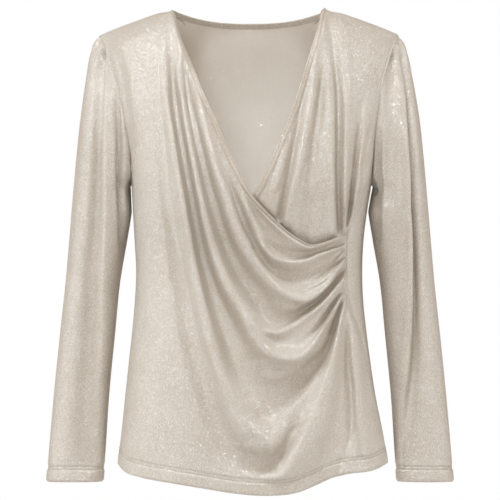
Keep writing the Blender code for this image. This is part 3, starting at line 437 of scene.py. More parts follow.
def smooth(at, stations, values):
    """A smooth curve through a table, held at its end values outside it.

    Between two stations it is the cubic that has their values and slopes, and a station's slope
    is a weighted mean of the slopes of the straight pieces on its two sides.
    """
    stations = np.asarray(stations, float)
    values = np.asarray(values, float)
    slopes = np.gradient(values, stations)
    at = np.clip(at, stations[0], stations[-1])
    cell = np.clip(np.searchsorted(stations, at, side="right") - 1, 0, len(stations) - 2)
    width = stations[cell + 1] - stations[cell]
    t = (at - stations[cell]) / width
    return ((1 + 2 * t) * (1 - t) ** 2 * values[cell] + t * t * (3 - 2 * t) * values[cell + 1]
            + width * t * (1 - t) * ((1 - t) * slopes[cell] - t * slopes[cell + 1]))


def by_height(z, rows, column):
    """A column of a table of sections at height z."""
    return smooth(-np.asarray(z, float), [-row.z for row in rows],
                  [getattr(row, column) for row in rows])


def by_share(share, rows, column):
    """A column of a table of shares at a share."""
    return smooth(share, [row.share for row in rows], [getattr(row, column) for row in rows])


def by_x(x, places):
    """The height of a line of places at x."""
    return smooth(x, [place.x for place in places], [place.z for place in places])


def route(places, shares):
    """Points (x, z) at these shares of the way along a smooth line through the places."""
    points = np.array(places, float)
    steps = np.hypot(*np.diff(points, axis=0).T)
    way = np.concatenate([[0], np.cumsum(steps)])
    at = np.asarray(shares, float) * way[-1]
    return smooth(at, way, points[:, 0]), smooth(at, way, points[:, 1])


def smoothstep(value):
    """From 0 to 1, level at both ends: value squared times (3 - 2 value)."""
    value = np.clip(value, 0, 1)
    return value * value * (3 - 2 * value)


def unit(vectors):
    """The vectors divided by their lengths."""
    return vectors / np.maximum(np.linalg.norm(vectors, axis=-1, keepdims=True), 1e-9)


def ring(angle, z):
    """The body's surface, a stack of rounded rings. Angle 0 is the right side, pi / 2 the front.

    x is minus a half width times cos(angle) ** (2 / roundness), and y minus a half depth times
    sin(angle) ** (2 / roundness), where a power keeps the sign of its cos or sin. Towards the
    shoulder seam the depth closes by a quarter round: it is multiplied by
    sqrt(1 - (1 - drop) ** 2).
    """
    across, forward = np.cos(angle), np.sin(angle)
    half = np.where(across > 0, by_height(z, BODY, "right"), by_height(z, BODY, "left"))
    depth = np.where(forward > 0, by_height(z, BODY, "front"), by_height(z, BODY, "back"))
    roundness = np.where(forward > 0, FRONT_ROUNDNESS, BACK_ROUNDNESS)
    x = -half * np.sign(across) * np.abs(across) ** (2 / roundness)
    drop = np.clip((by_x(np.abs(x), SHOULDER_LINE) - z) / SHOULDER_ROUND, 0, 1)
    closing = np.sqrt(1 - (1 - drop) ** 2)
    y = -depth * closing * np.sign(forward) * np.abs(forward) ** (2 / roundness)
    return np.stack(np.broadcast_arrays(x, y, z), axis=-1)


def ring_normal(angle, z):
    """The way out of the body: square to a small step round the ring and one down it."""
    step_angle, step_z = 0.004, 0.4
    round_it = ring(angle + step_angle, z) - ring(angle - step_angle, z)
    down = ring(angle, z - step_z) - ring(angle, z + step_z)
    return unit(np.cross(down, round_it))


def angle_at(x, z, roundness=FRONT_ROUNDNESS):
    """The angle on the front of the ring, or on the back, where it crosses x."""
    half = np.where(np.asarray(x) < 0, by_height(z, BODY, "right"), by_height(z, BODY, "left"))
    share = np.clip(np.abs(x) / half, 0, 1) ** (roundness / 2)
    return np.where(np.asarray(x) < 0, np.arccos(share), math.pi - np.arccos(share))


def armhole_rows():
    """Heights of the armhole's rows, closer at the shoulder tip and at the underarm."""
    turn = np.linspace(0, math.pi, ARMHOLE_CELLS + 1)
    middle = (SHOULDER_TIP_Z + UNDERARM_Z) / 2
    return middle + (SHOULDER_TIP_Z - UNDERARM_Z) / 2 * np.cos(turn)


def right_armhole_angle(z):
    """The right armhole seam: its share of the ring by height, turned into an angle."""
    turn = np.linspace(0, math.pi, len(ARMHOLE_SHARES))
    middle, half = (SHOULDER_TIP_Z + UNDERARM_Z) / 2, (SHOULDER_TIP_Z - UNDERARM_Z) / 2
    at = np.arccos(np.clip((z - middle) / half, -1, 1))
    return smooth(at, turn, np.arccos(np.array(ARMHOLE_SHARES) ** (FRONT_ROUNDNESS / 2)))


def left_seam_angle(z):
    """The left armhole above the underarm, and the left side seam below it."""
    below = np.clip(by_height(z, LEFT_SEAM, "share"), 0, 1)
    return math.pi - np.where(z > UNDERARM_Z, right_armhole_angle(z),
                              np.arccos(below ** (FRONT_ROUNDNESS / 2)))


def right_seam_angle(z):
    """The right armhole above the underarm, and the right side below it."""
    return np.where(z > UNDERARM_Z, right_armhole_angle(z), 0)


def left_seam_rows():
    """Heights of the rows on the left side seam, from the underarm to the hem.

    They are closer at the underarm, where the seam leaves the armhole almost level.
    """
    above, along, below = SEAM_CELLS
    share = np.linspace(0, 1, above + 1)[:-1] ** UNDERARM_CROWDING
    return np.concatenate([
        UNDERARM_Z + (PLEATS_TOP_Z - UNDERARM_Z) * share,
        np.linspace(PLEATS_TOP_Z, PLEATS_BOTTOM_Z, along + 1)[:-1],
        np.linspace(PLEATS_BOTTOM_Z, FRONT_HEM[-1].z, below + 1)])


def drawn(points):
    """Where the eye in front sees the points on the upright plane through the shoulders: their
    offsets from its line of sight times its distance to the plane over that to the point."""
    grow = EYE_DISTANCE / (EYE_DISTANCE + points[..., 1])
    return points[..., 0] * grow, EYE_Z + (points[..., 2] - EYE_Z) * grow


def from_line(x, z, line, pieces=60):
    """Nearest place on a line: the share of the way along it, the distance, and the side."""
    path = np.stack(route(line, np.linspace(0, 1, pieces + 1)), axis=-1)
    start, step = path[:-1], np.diff(path, axis=0)
    offset = np.stack([x, z], axis=-1)[..., None, :] - start
    share = np.clip((offset * step).sum(-1) / (step * step).sum(-1), 0, 1)
    gap = offset - share[..., None] * step
    near = np.argmin((gap * gap).sum(-1), axis=-1)[..., None]
    along = (near + np.take_along_axis(share, near, -1))[..., 0] / len(step)
    gap = np.take_along_axis(gap, near[..., None], -2)[..., 0, :]
    step = step[near[..., 0]]
    side = np.sign(step[..., 0] * gap[..., 1] - step[..., 1] * gap[..., 0])
    return along, np.hypot(gap[..., 0], gap[..., 1]), side


def along_line(share, line, column):
    """A column of a fold's knots at shares of the way along its line."""
    points = np.array([(knot.x, knot.z) for knot in line], float)
    way = np.concatenate([[0], np.cumsum(np.hypot(*np.diff(points, axis=0).T))])
    return np.interp(share, way / way[-1], [getattr(knot, column) for knot in line])


def folds(x, z, table):
    """The sum of the folds: each is height times exp(-far ** crest).

    How far is the distance over the width, made even round the crest: (sqrt(share ** 2 +
    rounded ** 2) - rounded), scaled to 1 where the distance is the width.
    """
    total = np.zeros(np.shape(x))
    for each in table:
        line = [Place(knot.x, knot.z) for knot in each.line]
        reach = max(max(knot.inner, knot.outer) for knot in each.line)
        reach = reach * FOLD_TAIL ** (1 / each.crest)
        low, high = np.min(line, axis=0) - reach, np.max(line, axis=0) + reach
        near = (x > low[0]) & (x < high[0]) & (z > low[1]) & (z < high[1])
        share, distance, side = from_line(x[near], z[near], line)
        width = np.where(side > 0, along_line(share, each.line, "inner"),
                         along_line(share, each.line, "outer"))
        far = (np.hypot(distance / width, FOLD_ROUNDED) - FOLD_ROUNDED) / (
            math.hypot(1, FOLD_ROUNDED) - FOLD_ROUNDED)
        total[near] += along_line(share, each.line, "height") * np.exp(-far ** each.crest)
    return total


def from_path(points, path):
    """Distances in space from points to the nearest place on a path."""
    start, step = path[:-1], np.diff(path, axis=0)
    length = np.maximum((step * step).sum(-1), 1e-9)
    nearest = np.full(points.shape[:-1], np.inf)
    for first, way, size in zip(start, step, length):
        offset = points - first
        share = np.clip((offset * way).sum(-1) / size, 0, 1)
        gap = offset - share[..., None] * way
        nearest = np.minimum(nearest, (gap * gap).sum(-1))
    return np.sqrt(nearest)


def seam_path(side):
    """A side's seam from shoulder tip to hem, on the body, by the rows of its panels."""
    z = np.concatenate([armhole_rows(), left_seam_rows()[1:], [BACK_HEM_MIDDLE]])
    return ring(right_seam_angle(z) if side < 0 else left_seam_angle(z), z)


def from_seams(angle, z):
    """Distances to the right seam, the left seam and the shoulder seam."""
    points = ring(angle, z)
    top = by_x(np.abs(points[..., 0]), SHOULDER_LINE) - z
    return from_path(points, seam_path(-1)), from_path(points, seam_path(1)), top


def dip(distance):
    """How far the cloth draws in beside a seam: SEAM_DIP times exp(-(distance / width) ** 2)."""
    return SEAM_DIP * np.exp(-(distance / SEAM_DIP_WIDTH) ** 2)


def hem_relief(above):
    """A turned hem: an exponential dip at its edge and at each row of the twin needle, and a
    puff between them."""
    edge = -HEM_EDGE * np.exp(-(above / HEM_EDGE_HEIGHT) ** 2)
    rows = sum(-STITCH_DRAW * np.exp(-((above - row) / STITCH_DRAW_HEIGHT) ** 2)
               for row in HEM_STITCH)
    puff = HEM_PUFF * smoothstep(above / HEM_PUFF_EASE) * smoothstep(
        (HEM_STITCH[0] - above) / HEM_PUFF_EASE)
    return edge + rows + puff


def hemmed(shares, reach):
    """Shares with HEM_ROWS even steps over the last reach, where the hem has its fine relief."""
    return np.concatenate([shares * (1 - reach), np.linspace(1 - reach, 1, HEM_ROWS + 1)[1:]])


def quarter_round(distance, radius):
    """How far an edge has rolled in at a distance from it: a quarter of a circle."""
    inside = np.clip(1 - distance / np.maximum(radius, 1e-3), 0, 1)
    return radius * (1 - np.sqrt(1 - inside ** 2))


def wrap_height(angle, z, with_roll=True):
    """How far forward of the body the wrap front stands: the drape's lift and its folds, kept
    above the body by a soft maximum, less the dips at its seams and the roll of its edge."""
    x, seen_z = drawn(ring(angle, z))
    right, left, top = from_seams(angle, z)
    along, edge, _ = from_line(x, seen_z, WRAP_EDGE)
    pleated = smoothstep((seen_z - PLEATS_BOTTOM_Z + PLEATS_EASE_BELOW) / PLEATS_EASE)
    left_fade = smoothstep(left / (LEFT_FADE + (PLEAT_FADE - LEFT_FADE) * pleated))
    lift = EDGE_LIFT + (DRAPE_LIFT - EDGE_LIFT) * smoothstep(edge / EDGE_LIFT_REACH)
    lift = lift * smoothstep(right / SIDE_FADE) * left_fade * smoothstep(top / SIDE_FADE)
    seam_fade = smoothstep(right / FOLD_FADE) * smoothstep(top / FOLD_FADE) * smoothstep(
        left / (FOLD_FADE + (PLEAT_FADE - FOLD_FADE) * pleated))
    height = lift + WRAP_DEPTH * folds(x, seen_z, WRAP_FOLDS) * seam_fade
    height = LIFT_SOFTNESS * (np.logaddexp(0, height / LIFT_SOFTNESS) - math.log(2) * (
        1 - seam_fade))
    height = height - dip(right) - dip(left) * (1 - pleated) - dip(top)
    if with_roll:
        height = height - quarter_round(edge, by_share(along, WRAP_ROLL, "radius"))
    return height + hem_relief(z - by_x(ring(angle, z)[..., 0], FRONT_HEM))


def under_height(angle, z, with_roll=True):
    """How far forward of the body the under front stands: a small lift and its folds, less the
    dips at its seams and the roll of its edge. Under the wrap it sinks inside the body."""
    x, seen_z = drawn(ring(angle, z))
    _, left, top = from_seams(angle, z)
    edge_x = [place.x for place in WRAP_EDGE]
    edge_z = [place.z for place in WRAP_EDGE]
    hidden = smoothstep((np.interp(x, edge_x, edge_z) + UNDER_SINK_ABOVE - seen_z) / UNDER_SINK)
    fade = smoothstep(left / FOLD_FADE) * smoothstep(top / FOLD_FADE)
    height = UNDER_LIFT * smoothstep(left / SIDE_FADE) * smoothstep(top / SIDE_FADE)
    height = height + UNDER_DEPTH * folds(x, seen_z, UNDER_FOLDS) * fade
    height = height - dip(left) - dip(top)
    if with_roll:
        along, edge, _ = from_line(x, seen_z, UNDER_EDGE)
        height = height - quarter_round(edge, by_share(along, UNDER_ROLL, "radius"))
    return (1 - hidden) * height - hidden * UNDER_LAP


def forward(angle, z, height):
    """The ring's surface moved straight to the front by a height."""
    points = ring(angle, z)
    points[..., 1] -= height
    return points


def outward(angle, z, height):
    """The ring's surface moved out by a height."""
    return ring(angle, z) + ring_normal(angle, z) * height[..., None]


def ruled(edge, outline, shares):
    """Places (angle, z) on straight ways from a neck edge to an outline, at shares of them.

    The first ways are bent so that the top one lies on the shoulder seam.
    """
    (edge_angle, edge_z), (far_angle, far_z) = edge, outline
    z = (1 - shares) * edge_z[:, None] + shares * far_z[:, None]
    angle = (1 - shares) * edge_angle[:, None] + shares * far_angle[:, None]
    top_x = ring(angle[0], z[0])[:, 0]
    lift = by_x(np.abs(top_x), SHOULDER_LINE) - z[0]
    z = z + lift * (1 - smoothstep((far_z[0] - far_z) / SHOULDER_ROUND))[:, None]
    return angle, z


def edge_places(places, shares):
    """Places (angle, z) at shares of the way along a neck edge."""
    x, z = route(places, shares)
    return angle_at(x, z), z


def wrap_outline():
    """Down the right armhole and side, along the hem and up the left side seam."""
    armhole = armhole_rows()
    side = np.linspace(UNDERARM_Z, FRONT_HEM[0].z, RIGHT_SIDE_CELLS + 1)[1:]
    hem_angle = np.linspace(0, math.pi, HEM_CELLS + 1)[1:]
    hem_x = ring(hem_angle, np.full(HEM_CELLS, BACK_HEM_SIDE))[:, 0]
    seam = left_seam_rows()[sum(SEAM_CELLS[:2]):][::-1][1:]
    angle = np.concatenate([right_armhole_angle(armhole), np.zeros(len(side)), hem_angle,
                            left_seam_angle(seam)])
    return angle, np.concatenate([armhole, side, by_x(hem_x, FRONT_HEM), seam])


def wrap_edge_shares():
    """Shares of the neck edge that face the stations of the outline."""
    first, second, third = WRAP_EDGE_STOPS
    rows = armhole_rows()
    level = (rows[0] - rows) / (rows[0] - rows[-1])
    even = np.linspace(0, 1, len(rows))
    return np.concatenate([
        first * (level + (even - level) * even),
        np.linspace(first, second, RIGHT_SIDE_CELLS + 1)[1:],
        np.linspace(second, third, HEM_CELLS + 1)[1:],
        np.linspace(third, 1, SEAM_CELLS[2] + 1)[1:]])


def square_to(vectors, across):
    """The vectors with what they have along another direction taken away."""
    return unit(vectors - (vectors * across).sum(-1, keepdims=True) * across)


def beyond_edge(edge, next_row):
    """The direction in the cloth that points past an edge."""
    return square_to(edge - next_row, unit(np.gradient(edge, axis=0)))


def grid_normals(grid, closed=False):
    """Square to the steps down the grid and across it. A closed grid goes round."""
    if closed:
        padded = np.concatenate([grid[:, -1:], grid, grid[:, :1]], axis=1)
        round_it = padded[:, 2:] - padded[:, :-2]
    else:
        round_it = np.gradient(grid, axis=1)
    return unit(np.cross(np.gradient(grid, axis=0), round_it))


def faces_out(grid, middle, closed):
    """The four-sided faces of a grid of points, turned to face away from a middle. A closed
    grid's last column joins its first."""
    rows, columns = grid.shape[:2]
    index = np.arange(rows * columns).reshape(rows, columns)
    if closed:
        index = np.concatenate([index, index[:, :1]], axis=1)
    faces = np.stack([index[:-1, :-1], index[1:, :-1], index[1:, 1:], index[:-1, 1:]], -1)
    faces = faces.reshape(-1, 4)
    inwards = (grid_normals(grid, closed) * (grid - middle)).sum() < 0
    return faces[:, ::-1] if inwards else faces


def add_object(name, points, faces, material, uv=None):
    """One smooth mesh object from arrays of points (mm), faces and, if given, places on the
    flat cloth (mm)."""
    faces = np.asarray(faces)
    mesh = bpy.data.meshes.new(name)
    mesh.from_pydata((np.asarray(points) * MM).tolist(), [], faces.tolist())
    mesh.update()
    if uv is not None:
        layer = mesh.uv_layers.new(name="cloth")
        layer.data.foreach_set("uv", (uv[faces.reshape(-1)] * MM).reshape(-1))
    mesh.shade_smooth()
    piece = bpy.data.objects.new(name, mesh)
    bpy.context.scene.collection.objects.link(piece)
    piece.data.materials.append(material)
    return piece


def add_sheet(name, grid, uv, sides, middle, closed=False):
    """A sheet of cloth on a grid of points. It faces away from the given middle, and its
    thickness lies inside. Its sides are the materials of its right and its wrong side."""
    piece = add_object(name, grid.reshape(-1, 3), faces_out(grid, middle, closed), sides[0],
                       uv.reshape(-1, 2))
    piece.data.materials.append(sides[1])
    solid = piece.modifiers.new("thickness", "SOLIDIFY")
    solid.thickness = CLOTH * MM
    solid.offset = -1
    solid.material_offset = 1
    return piece


def axis_of(grid):
    """The upright line through the origin, at the heights of a grid."""
    middle = np.zeros(grid.shape)
    middle[..., 2] = grid[..., 2]
    return middle


def cloth_places(angle, z):
    """Places on the flat cloth: round the body and down it."""
    return np.stack([angle * BODY_RADIUS, z], axis=-1)


def wrap_grid():
    """Places of the wrap's grid. Its last ways are bent so that they stay inside the left seam,
    which curves in beside the pleats, and the very last one lies on the pleats' seam."""
    shares = hemmed(np.linspace(0, 1, WRAP_CELLS - HEM_ROWS + 1) ** EDGE_CROWDING,
                    WRAP_HEM_REACH)
    angle, z = ruled(edge_places(WRAP_EDGE, wrap_edge_shares()), wrap_outline(), shares)
    z[-1] = PLEATS_TOP_Z + (PLEATS_BOTTOM_Z - PLEATS_TOP_Z) * shares
    angle[-1] = left_seam_angle(z[-1])
    ways = np.arange(SEAM_CELLS[2], 0, -1)
    last = slice(-1 - len(ways), -1)
    inside = left_seam_angle(z[last]) - WAY_GAP * ways[:, None] * (1 - shares)
    angle[last] = np.minimum(angle[last], inside)
    return angle, z


def build_wrap(material):
    """The wrap front: neck edge to outline by shoulder to pleats, moved forward by its folds."""
    angle, z = wrap_grid()
    grid = forward(angle, z, wrap_height(angle, z))
    piece = add_sheet("wrap_front_cloth", grid, cloth_places(angle, z), material, axis_of(grid))
    return piece, edge_frame(angle, z, grid)


def edge_frame(angle, z, grid):
    """Along a neck edge: its points, the way past it in the cloth, and the way out."""
    base = ring(angle[:, :2], z[:, :2])
    beyond = beyond_edge(base[:, 0], base[:, 1])
    out = square_to(ring_normal(angle[:, 0], z[:, 0]), beyond)
    return grid[:, 0], beyond, out


def build_under(material):
    """The under front: neck edge to left armhole and seam, moved forward by its folds."""
    rows = np.concatenate([armhole_rows(), left_seam_rows()[1:sum(SEAM_CELLS[:2]) + 1]])
    shares = np.linspace(0, 1, UNDER_CELLS + 1) ** UNDER_CROWDING
    level = (rows[0] - rows) / (rows[0] - rows[-1])
    angle, z = ruled(edge_places(UNDER_EDGE, level), (left_seam_angle(rows), rows), shares)
    grid = forward(angle, z, under_height(angle, z))
    piece = add_sheet("under_front_cloth", grid, cloth_places(angle, z), material,
                      axis_of(grid))
    return piece, edge_frame(angle, z, grid)


def back_neck(x):
    """Height of the back neck seam, under the binding."""
    return BACK_NECK_MIDDLE + (BACK_NECK_SIDE - BACK_NECK_MIDDLE) * np.abs(
        x / NECK_HALF_WIDTH) ** BACK_NECK_CURVE


def back_grid():
    """Places of the back's grid, and its hem's heights: from the neck and shoulders down, and
    from the right seam round to the left one, where its rows are the wrap's."""
    right_cells, neck_cells, left_cells = BACK_CELLS
    reach = NECK_HALF_WIDTH + NECK_CORNER
    right = np.linspace(-BODY[2].right, -reach, right_cells + 1)
    left = np.linspace(reach, BODY[2].left, left_cells + 1)
    neck = np.linspace(-NECK_HALF_WIDTH, NECK_HALF_WIDTH, neck_cells + 1)
    top_x = np.concatenate([right, neck, left])
    top_z = np.where(np.abs(top_x) <= NECK_HALF_WIDTH, back_neck(top_x),
                     by_x(np.abs(top_x), SHOULDER_LINE))
    top_angle = angle_at(top_x, top_z, BACK_ROUNDNESS)
    top_share = (top_angle - top_angle[0]) / (top_angle[-1] - top_angle[0])
    even_share = np.linspace(0, 1, len(top_x))
    hem_z = FRONT_HEM[-1].z
    below = np.union1d(left_seam_rows(), np.linspace(hem_z, hem_z + HEM_ROWS, HEM_ROWS + 1))
    left_z = np.concatenate([armhole_rows(), below[::-1][1:]])
    down = np.concatenate([
        (left_z[0] - left_z[:ARMHOLE_CELLS]) / (left_z[0] - UNDERARM_Z),
        1 + (UNDERARM_Z - left_z[ARMHOLE_CELLS:]) / (UNDERARM_Z - left_z[-1])])[:, None]
    share = top_share + (even_share - top_share) * smoothstep(down)
    hem = BACK_HEM_SIDE + (BACK_HEM_MIDDLE - BACK_HEM_SIDE) * np.sin(math.pi * even_share)
    upper = top_z + (UNDERARM_Z - top_z) * np.clip(down, 0, 1)
    z = upper + (hem - UNDERARM_Z) * np.clip(down - 1, 0, 1)
    z[:, -1] = left_z
    start = right_seam_angle(z[:, :1])
    seam_angle = left_seam_angle(left_z)[:, None]
    end = np.where(left_z[:, None] > UNDERARM_Z, seam_angle, 2 * math.pi - seam_angle)
    angle = -(start + (end - start) * share)
    ends = smoothstep(even_share / BACK_EASE) * smoothstep((1 - even_share) / BACK_EASE)
    angle = angle - (top_angle + angle[0]) * ends * (1 - smoothstep(down / BACK_EASE_DROP))
    angle[0] = -top_angle
    return angle, z, hem


def back_height(angle, z, hem):
    """How far out of the body the back stands: its folds, less the dips at its seams, and its
    hem's relief."""
    points = ring(angle, z)
    right, left, _ = from_seams(angle, z)
    top = by_x(np.abs(points[..., 0]), SHOULDER_LINE) - z
    fade = smoothstep(right / BACK_FOLD_FADE) * smoothstep(left / BACK_FOLD_FADE)
    behind = smoothstep(points[..., 1] / BACK_FOLD_DEPTH)
    height = folds(points[..., 0], z, BACK_FOLDS) * fade * behind
    shoulder = np.abs(points[..., 0]) > NECK_HALF_WIDTH
    return height - dip(right) - dip(left) - np.where(shoulder, dip(top), 0) + hem_relief(z - hem)


def build_back(material):
    """The back: neck and shoulders to hem, and round the left side to the seam on the front."""
    angle, z, hem = back_grid()
    grid = outward(angle, z, back_height(angle, z, hem))
    piece = add_sheet("back_cloth", grid, cloth_places(angle, z), material, axis_of(grid))
    neck = slice(BACK_CELLS[0] + 1, BACK_CELLS[0] + BACK_CELLS[1] + 2)
    edge = grid[0, neck]
    along = unit(np.gradient(edge, axis=0))
    out = square_to(ring_normal(angle[0, neck], z[0, neck]), along)
    beyond = np.cross(out, along)
    return piece, (edge, beyond * np.sign(beyond[:, 2:]), out)


def armhole_points(side):
    """The armhole seam as a closed loop: down the front and up the back."""
    rows = armhole_rows()
    z = np.concatenate([rows, rows[-2:0:-1]])
    right = right_armhole_angle(z)
    way = np.where(np.arange(len(z)) <= ARMHOLE_CELLS, 1, -1)
    return ring((right if side < 0 else math.pi - right) * way, z)


def sleeve_tube(side, z, turn):
    """The sleeve's sections at heights z, clear of the body's side: rounded rings, as the
    body's are, with cos and sin of the turn to the power 2 / SLEEVE_ROUNDNESS."""
    across, forward = (np.sign(part) * np.abs(part) ** (2 / SLEEVE_ROUNDNESS)
                       for part in (np.cos(turn), np.sin(turn)))
    clear = by_height(z, BODY, "right" if side < 0 else "left") + SLEEVE_CLEARANCE
    inner = by_height(z, SLEEVE, "inner")
    inner = inner + np.maximum(clear - inner, 0) * smoothstep(
        (UNDERARM_Z + CLEAR_ABOVE - z) / CLEAR_DROP)
    outer = by_height(z, SLEEVE, "outer")
    x = side * ((outer + inner) / 2 + (outer - inner) / 2 * across)
    y = by_height(z, SLEEVE, "middle_y") - by_height(z, SLEEVE, "half_depth") * forward
    return np.stack(np.broadcast_arrays(x, y, z), axis=-1)


def build_sleeve(name, side, table, material):
    """A sleeve: rounded rings down the arm, run into the armhole seam at its head.

    The head is the rings plus what the seam stands off them, less and less the farther down.
    Folds, dips and the cuff's hem then move every point straight out of the cloth.
    """
    seam = armhole_points(side)
    seam = np.stack([seam, (seam + np.roll(seam, -1, axis=0)) / 2], axis=1).reshape(-1, 3)
    count = len(seam)
    turn = np.arange(count) * 2 * math.pi / count
    share = hemmed(np.linspace(0, 1, SLEEVE_CELLS - HEM_ROWS + 1) ** HEAD_CROWDING,
                   SLEEVE_HEM_REACH)[:, None]
    z = seam[:, 2] + (SLEEVE[-1].z - seam[:, 2]) * share
    down = seam[:, 2] - z
    reach = UNDERARM_BLEND + (SLEEVE_HEAD_BLEND - UNDERARM_BLEND) * (1 + np.cos(turn)) / 2
    blend = 1 - smoothstep(down / reach)
    grid = sleeve_tube(side, z, turn) + blend[..., None] * (seam - sleeve_tube(
        side, seam[:, 2], turn))
    middle = grid.mean(axis=1, keepdims=True)
    out = grid_normals(grid, True)
    out = out * np.sign((out * (grid - middle)).sum())
    x, seen_z = drawn(grid)
    facing_eye = np.clip(np.abs(out[..., 1]) * SLEEVE_FOLD_FACING, 0, 1)
    height = SLEEVE_DEPTH * folds(x, seen_z, table) * facing_eye * smoothstep(
        down / SLEEVE_FOLD_FADE)
    height = height - dip(down) + hem_relief(z - SLEEVE[-1].z)
    grid = grid + out * height[..., None]
    facing = unit(np.array(ARMHOLE_FACING) * (side, 1, 1))
    grid[0] = seam + facing * SEAM
    uv = np.stack(np.broadcast_arrays(turn * ARM_RADIUS, z), axis=-1)
    return add_sheet(name, grid, uv, material, middle, closed=True), grid, out, z


def binding_section():
    """The folded strip's section round its cloth, over its width 0 to 1 and its height: out
    along the outer leg, round the edge and back along the inner one, then back inside."""
    u = np.linspace(0, 1, BINDING_CELLS + 1)[:-1]
    half = (BINDING_THICK - BINDING_CLOTH) / 2
    grooves = sum(-BINDING_GROOVE * np.exp(-((u - row) / BINDING_GROOVE_WIDTH) ** 2)
                  for row in BINDING_STITCH)
    turn = np.linspace(math.pi / 2, -math.pi / 2, BINDING_EDGE_POINTS)
    bend = half / BINDING_WIDTH
    run_u = np.concatenate([u * (1 - bend), 1 - bend + bend * np.cos(turn), u[::-1] * (1 - bend)])
    run_v = np.concatenate([half + grooves, half * np.sin(turn), np.full(len(u), -half)])
    path = np.stack([run_u * BINDING_WIDTH, run_v], axis=-1)
    ahead = unit(np.gradient(path, axis=0))
    side = np.stack([-ahead[:, 1], ahead[:, 0]], axis=-1) * BINDING_CLOTH / 2
    section = np.concatenate([path + side, (path - side)[::-1]])
    return section[:, 0] / BINDING_WIDTH, section[:, 1]


def build_binding(name, frame_of_edge, rows, end, material):
    """A folded strip past a neck edge: its section swept along the edge, turned by the table."""
    edge, beyond, out = frame_of_edge
    count = round(end * (len(edge) - 1)) + 1
    edge, beyond, out = edge[:count], beyond[:count], out[:count]
    steps = np.linalg.norm(np.diff(edge, axis=0), axis=1)
    way = np.concatenate([[0], np.cumsum(steps)]) / steps.sum()
    width = by_share(way, rows, "width")[:, None]
    turn = np.radians(by_share(way, rows, "turn"))[:, None]
    along = beyond * np.cos(turn) - out * np.sin(turn)
    face = out * np.cos(turn) + beyond * np.sin(turn)
    u, v = binding_section()
    start = edge - along * BINDING_LAP - face * BINDING_THICK * BINDING_SINK
    points = (start[:, None] + (along * width)[:, None] * u[:, None]
              + face[:, None] * v[:, None])
    faces = faces_out(points, points.mean(axis=1, keepdims=True), True)
    uv = np.stack(np.broadcast_arrays((way * steps.sum())[:, None], u * BINDING_WIDTH), axis=-1)
    piece = add_object(name, points.reshape(-1, 3), faces, material, uv.reshape(-1, 2))
    lines = [start + along * width * row + face * (BINDING_THICK / 2 - THREAD_BURIED)
             for row in BINDING_STITCH]
    return piece, [(line, face) for line in lines]


def at_ways(at, way, rows):
    """Rows of numbers read off, by straight interpolation, at some ways along a line."""
    return np.stack([np.interp(at, way, column) for column in rows.T], axis=-1)


def build_stitches(name, lines, material):
    """Short threads along lines on the cloth: each line is its points and the way out."""
    turn = np.arange(THREAD_SIDES) * 2 * math.pi / THREAD_SIDES
    ends, thick = np.array(STITCH).T[:, :, None]
    shape = np.stack(np.broadcast_arrays(
        ends * STITCH_LENGTH, thick * np.cos(turn) * THREAD, thick * np.sin(turn) * THREAD), -1)
    one = faces_out(shape, shape.mean(axis=1, keepdims=True), True)
    shape = shape.reshape(-1, 3)
    points, faces = [], []
    for line, out in lines:
        steps = np.linalg.norm(np.diff(line, axis=0), axis=1)
        way = np.concatenate([[0], np.cumsum(steps)])
        at = np.arange(STITCH_PITCH / 2, way[-1], STITCH_PITCH)
        place, ahead = at_ways(at, way, line), at_ways(at + STITCH_AHEAD, way, line)
        up = unit(at_ways(at, way, out))
        along = square_to(ahead - place, up)
        axes = np.stack([along, np.cross(up, along), up], axis=1)
        first = sum(len(block) for block in points)
        each = first + len(shape) * np.arange(len(at))[:, None, None]
        points.append((place[:, None] + shape @ axes).reshape(-1, 3))
        faces.append((one + each).reshape(-1, 4))
    return add_object(name, np.concatenate(points), np.concatenate(faces), material)


def hem_lines():
    """The twin needle's two rows round the body's hem, front and back."""
    lines = []
    angle = np.linspace(HEM_LINE_END, 1 - HEM_LINE_END, HEM_LINE_POINTS) * math.pi
    front_hem = by_x(ring(angle, np.full(len(angle), BACK_HEM_SIDE))[:, 0], FRONT_HEM)
    back_hem = BACK_HEM_SIDE + (BACK_HEM_MIDDLE - BACK_HEM_SIDE) * np.sin(angle)
    for row in HEM_STITCH:
        z = front_hem + row
        lines.append((forward(angle, z, wrap_height(angle, z)), ring_normal(angle, z)))
        z = back_hem + row
        lines.append((outward(-angle, z, back_height(-angle, z, back_hem)),
                      ring_normal(-angle, z)))
    return lines


def cuff_lines(grid, out, z):
    """The twin needle's two rows round a cuff: where the sleeve's rows pass their height."""
    lines = []
    columns = np.arange(grid.shape[1] + 1) % grid.shape[1]
    for row in HEM_STITCH:
        above = (z - (SLEEVE[-1].z + row))[:, columns]
        below = (above > 0).sum(axis=0)
        high, low = above[below - 1, np.arange(len(columns))], above[below, np.arange(len(columns))]
        share = (high / (high - low))[:, None]
        place, up = ((1 - share) * rows[below - 1, columns] + share * rows[below, columns]
                     for rows in (grid, out))
        lines.append((place, unit(up)))
    return lines


def node(tree, kind, **inputs):
    """A new node with some of its inputs set; an underscore in a name stands for a space."""
    made = tree.nodes.new(kind)
    for key, value in inputs.items():
        made.inputs[key.replace("_", " ")].default_value = value
    return made


def math_node(tree, operation, *values, kind="ShaderNodeMath"):
    """A math node whose inputs are sockets or numbers; it returns its result."""
    made = tree.nodes.new(kind)
    made.operation = operation
    for socket, value in zip(made.inputs, values):
        if isinstance(value, bpy.types.NodeSocket):
            tree.links.new(value, socket)
        else:
            socket.default_value = value
    return made.outputs[0]


def vector_node(tree, operation, *values):
    """The same for vectors."""
    return math_node(tree, operation, *values, kind="ShaderNodeVectorMath")


